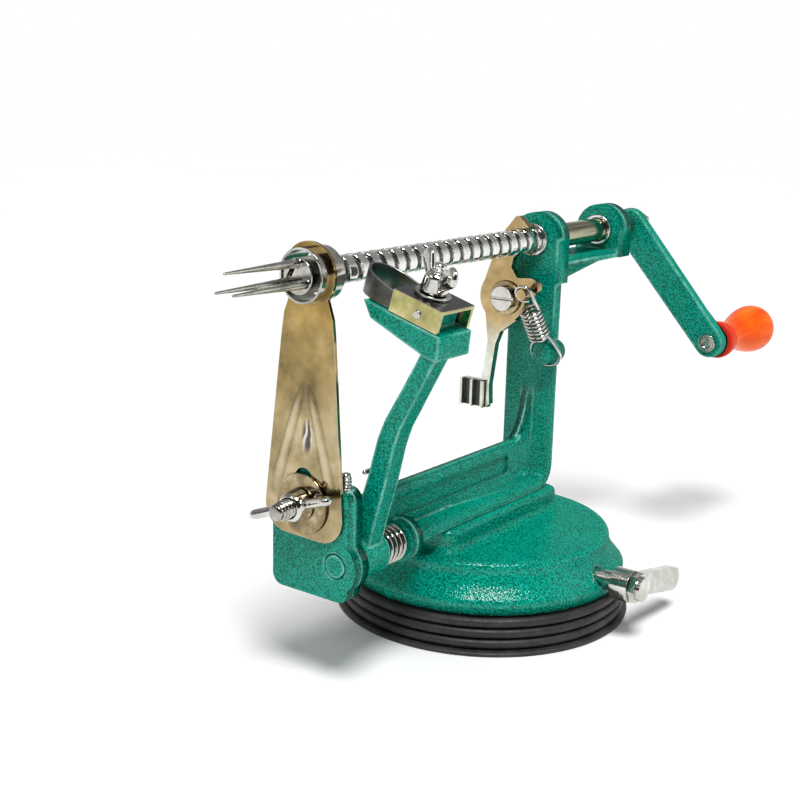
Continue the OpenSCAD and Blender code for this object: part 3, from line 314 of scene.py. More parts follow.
def make_metal(name, dark, middle, bright, rough_low, rough_high,
               blotch=160.0, turn=None, relief=None, groove_shade_box=None, corners=0.8):
    """Bare or plated metal: stains, faint dents, painted shade in the corners and a painted highlight along
    the edges.

    turn is a direction, two distances along it in metres and a tint that takes over between them.
    relief is a mesh attribute that gives the height of a pressed sheet in millimetres.
    The box argument is two corners in millimetres, and inside it the surface is painted dark, as shade in
    grooves.
    corners says how dark the painted shade in the corners gets.
    """
    material, tree, shader, coords = start_material(name)
    stains = noise(tree, coords, 70.0, detail=5.0, rough=0.65)
    patches = noise(tree, coords, blotch, detail=4.0, rough=0.6)
    fine = noise(tree, coords, 900.0, detail=3.0, rough=0.6)
    mixed = weighted(tree, patches, 0.6, stains, 0.4)
    colour = ramp(tree, mixed, [(0.36, dark), (0.50, middle), (0.64, bright)])
    if turn:
        colour = tint_along(tree, coords, colour, stains, *turn)
    if relief:
        colour = press_sheet(tree, coords, colour, relief)
    # Painted shade: everything inside the box goes dark, as in shaded grooves.
    if groove_shade_box:
        colour = mix_colour(tree, box_mask(tree, coords, *groove_shade_box), colour, (0.055, 0.060, 0.056))
    # Painted shade: darker deep in corners.
    painted_corner_shade = scaled(tree, corner_shade_mask(tree, reach=0.0018, low=0.28, high=0.70), corners)
    colour = mix_colour(tree, painted_corner_shade, colour, (0.030, 0.030, 0.026))
    # Painted highlight: paler along the edges.
    edges = scaled(tree, edge_mask(tree, radius=0.0005, low=0.03, high=0.35), 0.6)
    colour = mix_colour(tree, edges, colour, (0.86, 0.85, 0.82))
    tree.links.new(colour, shader.inputs["Base Color"])
    shader.inputs["Metallic"].default_value = 1.0
    rough = map_range(tree, mixed, 0.3, 0.7, rough_high, rough_low)
    tree.links.new(rough, shader.inputs["Roughness"])
    dents = math_node(tree, "ADD", fine, scaled(tree, stains, 1.5))
    set_bump(tree, shader, dents, strength=0.10, distance=0.0003)
    return material


def make_thread_metal():
    """Bright steel of the drive screw: dull with painted shade down in the thread, and streaks of painted
    reflection lengthwise where smooth.
    """
    material, tree, shader, coords = start_material("screw_steel")
    offset = vector_math(tree, "SUBTRACT", coords, (0.0, 0.0, SHAFT_Z * MM))
    across = vector_math(tree, "MULTIPLY", offset, (0.0, 1.0, 1.0))
    radius = vector_math(tree, "LENGTH", across, output="Value")
    depth = map_range(tree, radius, ROOT_R * MM, (SHAFT_R - 0.1) * MM)
    stains = noise(tree, coords, 90.0, detail=5.0, rough=0.65)
    rings = noise(tree, coords, 260.0, detail=4.0, rough=0.6, stretch=(4.0, 0.6, 0.6))
    # Painted shade: the colour runs from dark down in the thread's groove to bright on its ridge, with random
    # stains.
    groove_shade_and_stains = math_node(tree, "ADD", depth, scaled(tree, math_node(tree, "SUBTRACT", stains, 0.5), 0.5))
    colour = ramp(tree, groove_shade_and_stains, [
        (0.10, (0.16, 0.165, 0.155)),
        (0.62, (0.40, 0.40, 0.37)),
        (0.96, (0.90, 0.90, 0.87))])
    along = node(tree, "ShaderNodeSeparateXYZ", {"Vector": coords}).outputs["X"]
    smooth = map_range(tree, along, GROOVE_X1 * MM, SMOOTH_X0 * MM)
    # Painted reflection: dark olive to tan streaks along the smooth shaft, for the green casting and room
    # seen in it.
    shaft_reflection_streaks = noise(tree, coords, 420.0, detail=3.0, rough=0.6, stretch=(0.05, 1.0, 1.0))
    plain = ramp(tree, shaft_reflection_streaks, [(0.35, (0.20, 0.21, 0.13)), (0.65, (0.68, 0.64, 0.46))])
    colour = mix_colour(tree, smooth, colour, plain)
    shade = ramp(tree, rings, [(0.30, grey(0.80)), (0.65, grey(1.0))])
    colour = mix_colour(tree, 1.0, colour, shade, "MULTIPLY")
    # Painted shade: darker deep in the groove and other corners.
    painted_corner_shade = scaled(tree, corner_shade_mask(tree, reach=0.0020, low=0.50, high=0.95), 0.6)
    colour = mix_colour(tree, painted_corner_shade, colour, (0.060, 0.062, 0.055))
    tree.links.new(colour, shader.inputs["Base Color"])
    rough = map_range(tree, groove_shade_and_stains, 0.0, 1.0, 0.34, 0.10)
    tree.links.new(rough, shader.inputs["Roughness"])
    shader.inputs["Metallic"].default_value = 1.0
    set_bump(tree, shader, rings, strength=0.10, distance=0.0003)
    return material


def make_rubber():
    """Black moulded rubber with a fine grain and a little dust."""
    material, tree, shader, coords = start_material("black_rubber")
    grain = noise(tree, coords, 700.0, detail=4.0, rough=0.6)
    dust = noise(tree, coords, 60.0, detail=5.0, rough=0.7)
    colour = ramp(tree, dust, [(0.42, (0.012, 0.012, 0.013)), (0.78, (0.055, 0.052, 0.048))])
    tree.links.new(colour, shader.inputs["Base Color"])
    rough = ramp(tree, grain, [(0.3, grey(0.42)), (0.7, grey(0.66))])
    tree.links.new(rough, shader.inputs["Roughness"])
    set_bump(tree, shader, grain, strength=0.15, distance=0.0004)
    return material


def make_lacquer():
    """Orange lacquer on turned wood: faint grain along the handle, and a redder collar."""
    material, tree, shader, coords = start_material("orange_handle")
    grain = noise(tree, coords, 210.0, detail=5.0, rough=0.6, stretch=(0.12, 1.0, 1.0))
    blotch = noise(tree, coords, 80.0)
    colour = ramp(tree, weighted(tree, grain, 0.7, blotch, 0.3), [
        (0.32, (0.780, 0.058, 0.003)),
        (0.50, (0.920, 0.112, 0.005)),
        (0.70, (0.980, 0.210, 0.012))])
    red_to = HANDLE_X0 + 4.1
    orange_from = HANDLE_X0 + 8.4
    along = node(tree, "ShaderNodeSeparateXYZ", {"Vector": coords}).outputs["X"]
    collar = map_range(tree, along, red_to * MM, orange_from * MM, 1.0, 0.0)
    colour = mix_colour(tree, collar, colour, (0.70, 0.040, 0.016))
    tree.links.new(colour, shader.inputs["Base Color"])
    rough = ramp(tree, grain, [(0.3, grey(0.34)), (0.7, grey(0.22))])
    tree.links.new(rough, shader.inputs["Roughness"])
    shader.inputs["Specular IOR Level"].default_value = 0.06
    shader.inputs["Coat Weight"].default_value = 0.04
    shader.inputs["Coat Roughness"].default_value = 0.07
    set_bump(tree, shader, grain, strength=0.08, distance=0.0004)
    return material


# Mesh helpers
def add_object(name, mesh):
    made = bpy.data.objects.new(name, mesh)
    bpy.context.scene.collection.objects.link(made)
    return made


def finish_mesh(name, vertices, faces, smooth_angle=None):
    """A closed mesh with outward normals from points in millimetres; edges above smooth_angle stay sharp."""
    mesh = bpy.data.meshes.new(name)
    mesh.from_pydata([Vector(v) * MM for v in vertices], [], faces)
    made = bmesh.new()
    made.from_mesh(mesh)
    bmesh.ops.recalc_face_normals(made, faces=made.faces)
    for face in made.faces:
        face.smooth = True
    if smooth_angle is not None:
        for edge in made.edges:
            edge.smooth = edge.calc_face_angle(0.0) < math.radians(smooth_angle)
    made.to_mesh(mesh)
    made.free()
    return add_object(name, mesh)


def skin(name, rings, smooth_angle=40.0):
    """A closed skin over rings that have the same number of points, with a flat cap at each end."""
    count = len(rings[0])
    vertices = [p for ring in rings for p in ring]
    faces = []
    for i in range(len(rings) - 1):
        low = i * count
        for k in range(count):
            after = (k + 1) % count
            faces.append((low + k, low + after, low + count + after, low + count + k))
    faces.append(tuple(range(count)))
    last = (len(rings) - 1) * count
    faces.append(tuple(last + k for k in reversed(range(count))))
    return finish_mesh(name, vertices, faces, smooth_angle)


def ring_x(x, radius, centre, count):
    """A ring round an axis along X; the radius is a number or a function of x and the angle in degrees."""
    points = []
    for k in range(count):
        angle = 360.0 * k / count
        r = radius(x, angle) if callable(radius) else radius
        t = math.radians(angle)
        points.append((x, centre[0] + r * math.cos(t), centre[1] + r * math.sin(t)))
    return points


def ring_z(z, radius, count):
    """A ring round the Z axis."""
    angles = [math.tau * k / count for k in range(count)]
    return [(radius * math.cos(t), radius * math.sin(t), z) for t in angles]


def smoothstep(value):
    t = min(1.0, max(0.0, value))
    return t * t * (3 - 2 * t)


def spread(a, b, step):
    """Values from a to b, about a step apart."""
    count = max(1, round(abs(b - a) / step))
    return [a + (b - a) * i / count for i in range(count + 1)]


def through(points, steps):
    """Points of a smooth curve that passes through the given ones."""
    made = []
    points = [Vector(p) for p in points]
    for i in range(len(points) - 1):
        before = points[max(i - 1, 0)]
        a = points[i]
        b = points[i + 1]
        after = points[min(i + 2, len(points) - 1)]
        for s in range(steps):
            t = s / steps
            made.append(0.5 * (2 * a + (b - before) * t + (2 * before - 5 * a + 4 * b - after) * t * t
                               + (3 * a - before - 3 * b + after) * t * t * t))
    made.append(points[-1])
    return made


def tube(name, path, radius, sides=12):
    """A round wire along a path, with rounded ends."""
    tangents = []
    for i in range(len(path)):
        tangents.append((path[min(i + 1, len(path) - 1)] - path[max(i - 1, 0)]).normalized())
    normal = tangents[0].orthogonal().normalized()
    angles = [math.tau * k / sides for k in range(sides)]
    rings = []

    def add_ring(centre, tangent, r):
        side = tangent.cross(normal)
        rings.append([centre + r * (normal * math.cos(t) + side * math.sin(t)) for t in angles])

    for lift, share in ((-0.85, 0.5), (-0.5, 0.85)):
        add_ring(path[0] + tangents[0] * radius * lift, tangents[0], radius * share)
    for point, tangent in zip(path, tangents):
        normal = (normal - tangent * normal.dot(tangent)).normalized()
        add_ring(point, tangent, radius)
    for lift, share in ((0.5, 0.85), (0.85, 0.5)):
        add_ring(path[-1] + tangents[-1] * radius * lift, tangents[-1], radius * share)
    return skin(name, rings, None)


def screw_height(x, angle, start, turns, pitch, phase, top_half, base_half, middle):
    """Share of the thread's depth at a place on a screw: 1 on the ridge and 0 in the groove."""
    along = (x - start) / pitch - (angle + phase) / 360
    turn = math.floor(along)
    e = (along - turn) * pitch
    d = abs(e - middle)
    d = min(d, pitch - d)
    if e - middle > pitch / 2:
        turn += 1
    done = turn + (angle + phase) / 360
    rise = min(1.0, max(0.0, 2 * min(done, turns - done)))
    return rise * (1 - smoothstep((d - top_half) / (base_half - top_half)))


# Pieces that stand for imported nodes
def make_drive_screw():
    """Drive screw from the fork's seat to the crank: thread, groove, smooth shaft and a threaded stub."""
    count = 72
    centre = (0.0, SHAFT_Z)
    tip_x = -109.0
    tip_r = 3.0
    tip_round = 0.4
    groove_r = 3.3
    groove_x0 = THREAD_X1 + 0.3
    chamfer = 0.5
    shaft_x1 = 96.5
    stub_r = 2.9
    stub_depth = 0.4
    stub_plain_x1 = 110.4
    stub_thread_x = (110.6, 116.0)
    stub_tip = (116.7, 2.1)

    def thread(x, angle):
        share = screw_height(x, angle, THREAD_X0, THREAD_TURNS, PITCH, THREAD_PHASE,
                             top_half=1.80, base_half=2.30, middle=THREAD_L / 2)
        return ROOT_R + (SHAFT_R - ROOT_R) * share

    def stub_thread(x, angle):
        share = screw_height(x, angle, start=98.0, turns=18, pitch=1.0, phase=0.0,
                             top_half=0.08, base_half=0.5, middle=0.5)
        return stub_r - stub_depth * (1 - share)

    profile = [(tip_x, tip_r - tip_round), (tip_x + tip_round, tip_r)]
    profile += [(THREAD_X0, tip_r), (THREAD_X0, ROOT_R)]
    profile += [(x, thread) for x in spread(THREAD_X0, THREAD_X1, 0.22)[1:-1]]
    profile += [(THREAD_X1, ROOT_R), (groove_x0, groove_r), (GROOVE_X1, groove_r)]
    profile += [(GROOVE_X1, SHAFT_R - chamfer), (SMOOTH_X0, SHAFT_R)]
    profile += [(x, SHAFT_R) for x in spread(SMOOTH_X0, shaft_x1 - chamfer, 8.0)[1:]]
    profile += [(shaft_x1, SHAFT_R - chamfer), (shaft_x1, stub_r), (stub_plain_x1, stub_r)]
    profile += [(x, stub_thread) for x in spread(*stub_thread_x, 0.12)]
    profile.append(stub_tip)
    made = skin("drive_screw_thread", [ring_x(x, r, centre, count) for x, r in profile], 50.0)
    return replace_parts(made, "drive_screw"), "drive", "bright_steel"


def make_lever_spring():
    """The feed lever's spring: a loop round its post, curls and a hook round the lever's peg."""
    low = Vector((24.5, -9.5, 96.0))
    high = Vector((12.8, -5.6, 119.9))
    wire_r = 0.65
    loop_r = 6.0
    curl_r = 3.6
    hook_r = 3.3
    loop_gap = 1.2
    hook_gap = 3.4
    curls = 8
    steps = 8
    axis = (high - low).normalized()
    side = Vector((1, 0, 0)).cross(axis).normalized()
    front = axis.cross(side)
    length = (high - low).length
    start = loop_r + loop_gap
    body = length - start - hook_r - hook_gap

    def at(u, s, f):
        return low + axis * u + side * s + front * f

    points = []
    for a in range(10, -271, -28):
        t = math.radians(a)
        points.append(at(loop_r * math.cos(t), loop_r * math.sin(t), 0.0))
    for k in range(curls * steps + 1):
        t = math.radians(90 + 360 / steps * k)
        points.append(at(start + body * k / (curls * steps), curl_r * math.sin(t), curl_r * math.cos(t)))
    for a in range(90, -191, -28):
        t = math.radians(a)
        points.append(at(length + hook_r * math.cos(t), hook_r * math.sin(t), 0.0))
    made = tube("lever_spring_wire", through(points, 4), wire_r)
    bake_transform(made, "stand", "lever", start=low * MM, end=high * MM)
    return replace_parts(made, "lever_spring"), "stand", "bright_steel"


def arm_leg_tip():
    """Where the arm spring's leg lies against the arm's inner edge."""
    pivot = Vector(ARM_PIVOT)
    reach = Vector(ARM_TOP) - pivot
    before, here, after = [pivot + Vector((reach.x * a, reach.y * b))
                           for a, b in ((0.13, 0.2), (0.28, 0.401), (0.392, 0.58))]
    along = (after - before).normalized()
    arm_half = 4.0 - 1.2 * 2 / 6
    play = 0.3
    return here + Vector((along.y, -along.x)) * (arm_half + ARM_WIRE_R + play)


def make_arm_spring():
    """The peeling arm's spring: coils round the pivot pin and a leg that lies against the arm."""
    pivot = ARM_PIVOT
    radius = 5.8
    coils = 4
    steps = 8
    pitch = 2.4
    x_end = -72.4
    x_start = -82.0
    arm_x0 = -92.7
    arm_x1 = -85.7
    tip = arm_leg_tip()
    points = []
    for k in range(coils * steps + 1):
        t = math.radians(360 / steps * k)
        x = x_end - pitch * k / steps
        points.append((x, pivot[0] + radius * math.cos(t), pivot[1] + radius * math.sin(t)))
    leg_start = Vector((x_start, pivot[0] + radius, pivot[1] + 3))
    leg_bend = Vector((arm_x1 + 1.5, tip[0], tip[1]))
    points += [leg_start.lerp(leg_bend, f / 4) for f in range(5)]
    points += [(x, tip[0], tip[1] + 0.4) for x in (arm_x1 - 0.5, arm_x0 + 2, arm_x0 - 0.6)]
    made = tube("arm_spring_wire", through(points, 4), ARM_WIRE_R)
    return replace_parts(made, "arm_spring"), "arm", "bright_steel"


def threaded(name, place, x0, x1, thread_to, radius, pitch, depth, count=48):
    """A stud along X with a rounded tip at x0, threaded as far as thread_to, put in place by a matrix."""
    turns = math.ceil((thread_to - x0) / pitch)
    root = radius - depth
    lead = 0.8
    chamfer = 0.3

    def thread(x, angle):
        share = screw_height(x, angle, x0 + lead, turns, pitch, phase=0.0,
                             top_half=0.08 * pitch, base_half=0.47 * pitch, middle=0.5 * pitch)
        return radius - depth * (1 - share)

    profile = [(x0, root * 0.62), (x0 + 0.2, root * 0.85), (x0 + 0.7, root)]
    profile += [(x, thread) for x in spread(x0 + lead, thread_to - 0.2, pitch / 10)]
    profile += [(thread_to, radius), (x1 - chamfer, radius), (x1, radius - chamfer)]
    rings = [[place @ Vector(p) for p in ring_x(x, r, (0, 0), count)] for x, r in profile]
    return skin(name, rings, 60.0)


def quarter_turn(axis):
    return Matrix.Rotation(math.radians(90), 4, axis)


def make_blade_stud():
    place = Matrix.Translation((0, *STUD))
    made = threaded("blade_stud_thread", place, x0=-119.0, x1=-97.0, thread_to=-105.8,
                    radius=3.25, pitch=1.5, depth=0.55)
    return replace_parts(made, "blade_stud"), "stand", "bright_steel"


def make_anchor():
    place = Matrix.Translation((-100.5, -12.0, 0.0)) @ quarter_turn("Y")
    made = threaded("anchor_thread", place, x0=-76.5, x1=-65.5, thread_to=-71.6,
                    radius=2.0, pitch=1.1, depth=0.4, count=32)
    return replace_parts(made, "spring_anchor"), "stand", "bright_steel"


def head_matrix():
    """Frame of the peeling arm's head: y along the blade holder and z up from its seat."""
    return Matrix.Translation(Vector(HEAD_PLACE)) @ Matrix.Rotation(math.radians(HEAD_TILT), 4, "X")


def make_holder_bolt():
    place = head_matrix() @ Matrix.Translation((0, HOLDER_BOLT_U, 0)) @ quarter_turn("Y")
    made = threaded("holder_bolt_thread", place, x0=-18.2, x1=4.0, thread_to=-8.6,
                    radius=2.5, pitch=1.1, depth=0.4, count=40)
    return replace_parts(made, "holder_bolt"), "arm", "nickel"


def wing_nut(name, place, hub_d, hub_l, bore_r, span, tall, thick):
    """Cast wing nut standing on the plane z = 0 of its own frame, its wings along x."""
    vertices = []
    faces = []

    def add_rings(rings, closed):
        first = len(vertices)
        count = len(rings[0])
        for ring in rings:
            vertices.extend(place @ Vector(p) for p in ring)
        for i in range(len(rings) if closed else len(rings) - 1):
            low = first + i * count
            high = first + (i + 1) % len(rings) * count
            for k in range(count):
                after = (k + 1) % count
                faces.append((low + k, low + after, high + after, high + k))
        if not closed:
            faces.append(tuple(first + k for k in range(count)))
            faces.append(tuple(first + (len(rings) - 1) * count + k for k in reversed(range(count))))

    hub_r = hub_d / 2
    hub_top_r = 0.41 * hub_d
    hub = [(bore_r, 0.0), (hub_r - 0.4, 0.0), (hub_r, 0.4)]
    hub += [(hub_top_r + 0.3, hub_l - 1.0), (hub_top_r - 0.6, hub_l), (bore_r, hub_l)]
    add_rings([ring_z(z, r, 40) for r, z in hub], True)
    tip_r = 0.3 * tall
    root_r = 0.3 * hub_l
    angles = [math.tau * a / 20 for a in range(20)]
    for s in (-1, 1):
        start = Vector((s * 0.36 * hub_d, 0.0, root_r + 1.0))
        end = Vector((s * (span / 2 - tip_r), 0.0, tall - tip_r))
        out = (end - start).normalized()
        up = Vector((-out.z * s, 0.0, abs(out.x)))
        rings = []
        # Steps 0 to 8 are the wing, and those before and after are its rounded ends
        for k in range(-4, 13):
            f = min(1.0, max(0.0, k / 8))
            half = root_r + (tip_r - root_r) * f
            past = min(k, 0) / 4 + max(k - 8, 0) / 4
            shrink = math.sqrt(max(0.02, 1 - past * past))
            centre = start.lerp(end, f) + out * half * past
            ring = []
            for t in angles:
                side = Vector((0, thick / 2 * shrink * math.cos(t), 0))
                ring.append(centre + up * half * shrink * math.sin(t) + side)
            rings.append(ring)
        add_rings(rings, False)
    made = finish_mesh(name, vertices, faces)
    blend = made.modifiers.new("blend", "REMESH")
    blend.mode = "VOXEL"
    blend.voxel_size = 0.30 * MM
    blend.use_smooth_shade = True
    rub = made.modifiers.new("rub", "SMOOTH")
    rub.factor = 0.5
    rub.iterations = 5
    return made


def make_blade_nut():
    seat_x = -106.42
    wing_turn = -20
    place = (Matrix.Translation((seat_x, *STUD)) @ Matrix.Rotation(math.radians(wing_turn), 4, "X")
             @ Matrix.Rotation(math.radians(-90), 4, "Y") @ quarter_turn("Z"))
    made = wing_nut("blade_nut_cast", place, hub_d=11.0, hub_l=6.2, bore_r=3.4,
                    span=36.0, tall=7.4, thick=3.4)
    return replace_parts(made, "blade_wing_nut"), "blade_nut", "nickel"


def make_holder_nut():
    washer_t = 1.2
    gap = 0.1
    wing_turn = 61
    place = (head_matrix() @ Matrix.Translation((0, HOLDER_BOLT_U, HOLDER_H + washer_t + gap))
             @ Matrix.Rotation(math.radians(wing_turn), 4, "Z"))
    made = wing_nut("holder_nut_cast", place, hub_d=9.0, hub_l=6.4, bore_r=2.65,
                    span=24.0, tall=11.5, thick=2.8)
    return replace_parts(made, "holder_wing_nut"), "holder_nut", "nickel"


def make_handle():
    """Turned handle with a rounded collar, a slim neck, a bulb and a bore for its axle."""
    neck_r = 6.2
    bulb_r = 10.3
    collar_r = 7.8
    collar_l = 5.0
    collar_round = 0.9
    round_to = collar_l - 1.6
    body_l = 37.7
    bore_r = 2.55
    depth = 36.3
    neck = 0.22

    def radius(f):
        if f < neck:
            return neck_r + 1.2 * (1 - f / neck) ** 2
        return neck_r + (bulb_r - neck_r) * (1 - math.cos(math.pi * (f - neck) / (1 - neck))) / 2

    flat_r = collar_r - collar_round
    quarter = [math.radians(15 * k) for k in range(1, 7)]
    profile = [(depth, bore_r), (0.0, bore_r), (0.0, flat_r)]
    profile += [(collar_round - collar_round * math.cos(t), flat_r + collar_round * math.sin(t))
                for t in quarter]
    profile.append((round_to, collar_r))
    profile += [(round_to + collar_round * math.sin(t), flat_r + collar_round * math.cos(t)) for t in quarter]
    profile += [(collar_l - 0.35, radius(0) - 0.25), (collar_l, radius(0))]
    profile += [(collar_l + (body_l - collar_l) * k / 40, radius(k / 40)) for k in range(1, 41)]
    for k in range(1, 30):
        t = math.radians(3 * k)
        profile.append((body_l + bulb_r * math.sin(t), bulb_r * math.cos(t)))
    rings = [ring_x(HANDLE_X0 + x, r, HANDLE_CENTRE, 64) for x, r in profile]
    made = skin("handle_turned", rings, 55.0)
    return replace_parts(made, "handle_knob"), "handle", "orange_handle"


def make_pad():
    """Rubber pad with three rounded ribs and a thin lip."""
    top_z = 15.0
    web_z = 10.0
    hollow_z = 2.5
    boss_r = 20.4
    well_r = 44.5
    wall_r = 52.5
    rib_out = 3.0
    rib_count = 3
    lip_t = 1.6
    rib_pitch = (top_z - lip_t - 1.4) / rib_count
    profile = [(hollow_z, boss_r), (web_z, boss_r), (web_z, well_r), (top_z, well_r)]
    profile += [(top_z, wall_r - 0.2), (top_z - 0.2, wall_r)]
    for i in reversed(range(rib_count)):
        low = lip_t + 0.4 + i * rib_pitch
        top = low + rib_pitch * 0.95
        for k in range(1, 13):
            t = math.pi * k / 12
            z = (top + low) / 2 + (top - low) / 2 * math.cos(t)
            profile.append((z, wall_r + rib_out * math.sin(t) ** 0.7 if k < 12 else wall_r))
    profile += [(1.75, 54.5), (1.5, 56.4), (1.1, 56.9), (0.7, 57.0), (0.25, 56.9), (0.0, 56.5)]
    made = skin("rubber_pad", [ring_z(z, r, 128) for z, r in profile], 50.0)
    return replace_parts(made, "suction_pad"), "stand", "black_rubber"


def make_peeling_blade():
    """Hairpin strip, ground to an edge along its lower side."""
    half = 7.45
    thick = 0.8
    low = 3.0
    straight = 25.0
    nose = 10.0
    height = 5.9
    nose_rise = 2.8
    rise_from = 19.6
    path = [(-half, u) for u in spread(low, straight, 2.0)]
    for k in range(1, 60):
        t = math.radians(180 - 3 * k)
        path.append((half * math.cos(t), straight + nose * math.sin(t)))
    path += [(half, u) for u in spread(straight, low, 2.0)]
    section = [(0.0, height), (0.10, height + 0.1), (thick - 0.10, height + 0.1), (thick, height)]
    section += [(thick, 1.7), (0.14, 0.2), (0.0, 0.2)]
    place = head_matrix()
    rings = []
    for i, (v, u) in enumerate(path):
        before = path[max(i - 1, 0)]
        after = path[min(i + 1, len(path) - 1)]
        d = Vector((after[0] - before[0], after[1] - before[1])).normalized()
        inward = Vector((d.y, -d.x))
        rise = nose_rise * max(0.0, u - rise_from) / (straight + nose - rise_from)
        ring = []
        for n, w in section:
            lift = rise if w > 2 else 0.0
            ring.append(place @ Vector((v + inward.x * n, u + inward.y * n, w + lift)))
        rings.append(ring)
    made = skin("peeling_blade_strip", rings, 30.0)
    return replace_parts(made, "peeling_blade"), "arm", "bright_steel"


def blade_outline():
    """Half outline of the slicing blade as (across, up), from its foot to the top of its eye."""
    half = 16.3
    foot = 53.0
    foot_r = 9.0
    eye_r = 10.4
    points = []
    for k in range(11):
        t = math.radians(-90 + 9 * k)
        points.append((half - foot_r + foot_r * math.cos(t), foot + foot_r + foot_r * math.sin(t)))
    points += [(10.9, 119.0), (10.0, 126.0)]
    for k in range(34):
        t = math.radians(-42 + 4 * k)
        points.append((eye_r * math.cos(t), SHAFT_Z + eye_r * math.sin(t)))
    return points


def emboss(y, z):
    """Height of the V pressed in the blade, toward the front, and of the shallow dent between its legs."""
    leg_top = (1.6, 103.0)
    leg_foot = (12.4, 67.0)
    rib_height = 0.65
    dent_centre = (-0.8, 87.0)
    dent_half = (4.2, 10.0)
    dent_depth = 0.45
    height = 0.0
    p = Vector((y, z))
    for s in (-1, 1):
        a = Vector((s * leg_top[0], leg_top[1]))
        b = Vector((s * leg_foot[0], leg_foot[1]))
        f = min(1.0, max(0.0, (p - a).dot(b - a) / (b - a).length_squared))
        gap = (p - a.lerp(b, f)).length
        width = 1.3 + 0.7 * f
        fade = 0.25 + 0.75 * smoothstep(f / 0.2) * smoothstep((1 - f) / 0.25)
        height = max(height, rib_height * fade * (1 - smoothstep((gap - 0.1 * width) / (1.5 * width))))
    across = (y - dent_centre[0]) / dent_half[0]
    up = (z - dent_centre[1]) / dent_half[1]
    return height - dent_depth * (1 - smoothstep(math.sqrt(across * across + up * up)))


def blade_face():
    """The slicing blade's flat face with its slot and eye, cut into a fine net so that it can be pressed."""
    slot_r = 3.75
    slot_low = STUD[1] - 0.3
    slot_high = STUD[1] + 12 - slot_r
    eye_r = 8.82
    right = blade_outline()
    border = right + [(-y, z) for y, z in reversed(right) if abs(y) > 0.05]
    slot = []
    for k in range(36):
        t = math.radians(10 * k)
        slot.append((slot_r * math.cos(t), (slot_low if k > 18 else slot_high) + slot_r * math.sin(t)))
    eye = []
    for k in range(64):
        t = math.tau * k / 64
        eye.append((eye_r * math.cos(t), SHAFT_Z + eye_r * math.sin(t)))
    made = bmesh.new()
    edges = []
    for loop in (border, slot, eye):
        corners = [made.verts.new((0.0, y, z)) for y, z in loop]
        edges += [made.edges.new((corners[i], corners[(i + 1) % len(corners)])) for i in range(len(corners))]
    bmesh.ops.triangle_fill(made, edges=edges, use_beauty=True)
    bmesh.ops.dissolve_limit(made, angle_limit=0.01, verts=made.verts, edges=made.edges)
    off_corners = 0.013
    for axis, low, high, step in ((1, -16, 16, 0.8), (2, 54, 149, 1.0)):
        place = low
        while place < high:
            normal = Vector((0, 0, 0))
            normal[axis] = 1.0
            point = Vector((0, 0, 0))
            point[axis] = place + off_corners
            everything = made.verts[:] + made.edges[:] + made.faces[:]
            bmesh.ops.bisect_plane(made, geom=everything, plane_co=point, plane_no=normal)
            place += step
    bmesh.ops.triangulate(made, faces=made.faces)
    made.verts.index_update()
    return made


def make_slicing_blade():
    """Slicing blade: a sheet with a pressed V and a dent, leaning from its stud to the screw."""
    thick = 1.2
    front = -105.22
    made = blade_face()
    count = len(made.verts)
    lean_cos = math.cos(math.radians(BLADE_LEAN))
    lean_sin = math.sin(math.radians(BLADE_LEAN))
    vertices = []
    faces = []
    heights = []
    for layer in (0, 1):
        for v in made.verts:
            y = v.co.y
            z = v.co.z - SHAFT_Z
            heights.append(emboss(v.co.y, v.co.z))
            x = front + layer * thick - heights[-1]
            vertices.append((x, y * lean_cos - z * lean_sin, SHAFT_Z + y * lean_sin + z * lean_cos))
    for face in made.faces:
        ids = [v.index for v in face.verts]
        faces.append(tuple(ids))
        faces.append(tuple(i + count for i in reversed(ids)))
    for edge in made.edges:
        if edge.is_boundary:
            a, b = (v.index for v in edge.verts)
            faces.append((a, b, b + count, a + count))
    made.free()
    blade = finish_mesh("slicing_blade_sheet", vertices, faces, 50.0)
    relief = blade.data.attributes.new("relief", "FLOAT", "POINT")
    relief.data.foreach_set("value", heights)
    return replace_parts(blade, "slicing_blade"), "stand", "bright_steel"


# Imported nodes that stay: rounded edges and a finish
def on_saddle_top(p):
    """True for a vertex on the edges of the saddle's top."""
    return p.z > SADDLE_EDGES_ABOVE and abs(p.y) > SADDLE_INNER_Y


def on_saddle_foot(p):
    """True for a vertex where the saddle's long sides meet the base."""
    level = abs(p.z - BASE_TOP_Z) < LEVEL_SLACK
    return level and SADDLE_INNER_Y < abs(p.y) < SADDLE_OUTER_Y and SADDLE_X[0] < p.x < SADDLE_X[1]


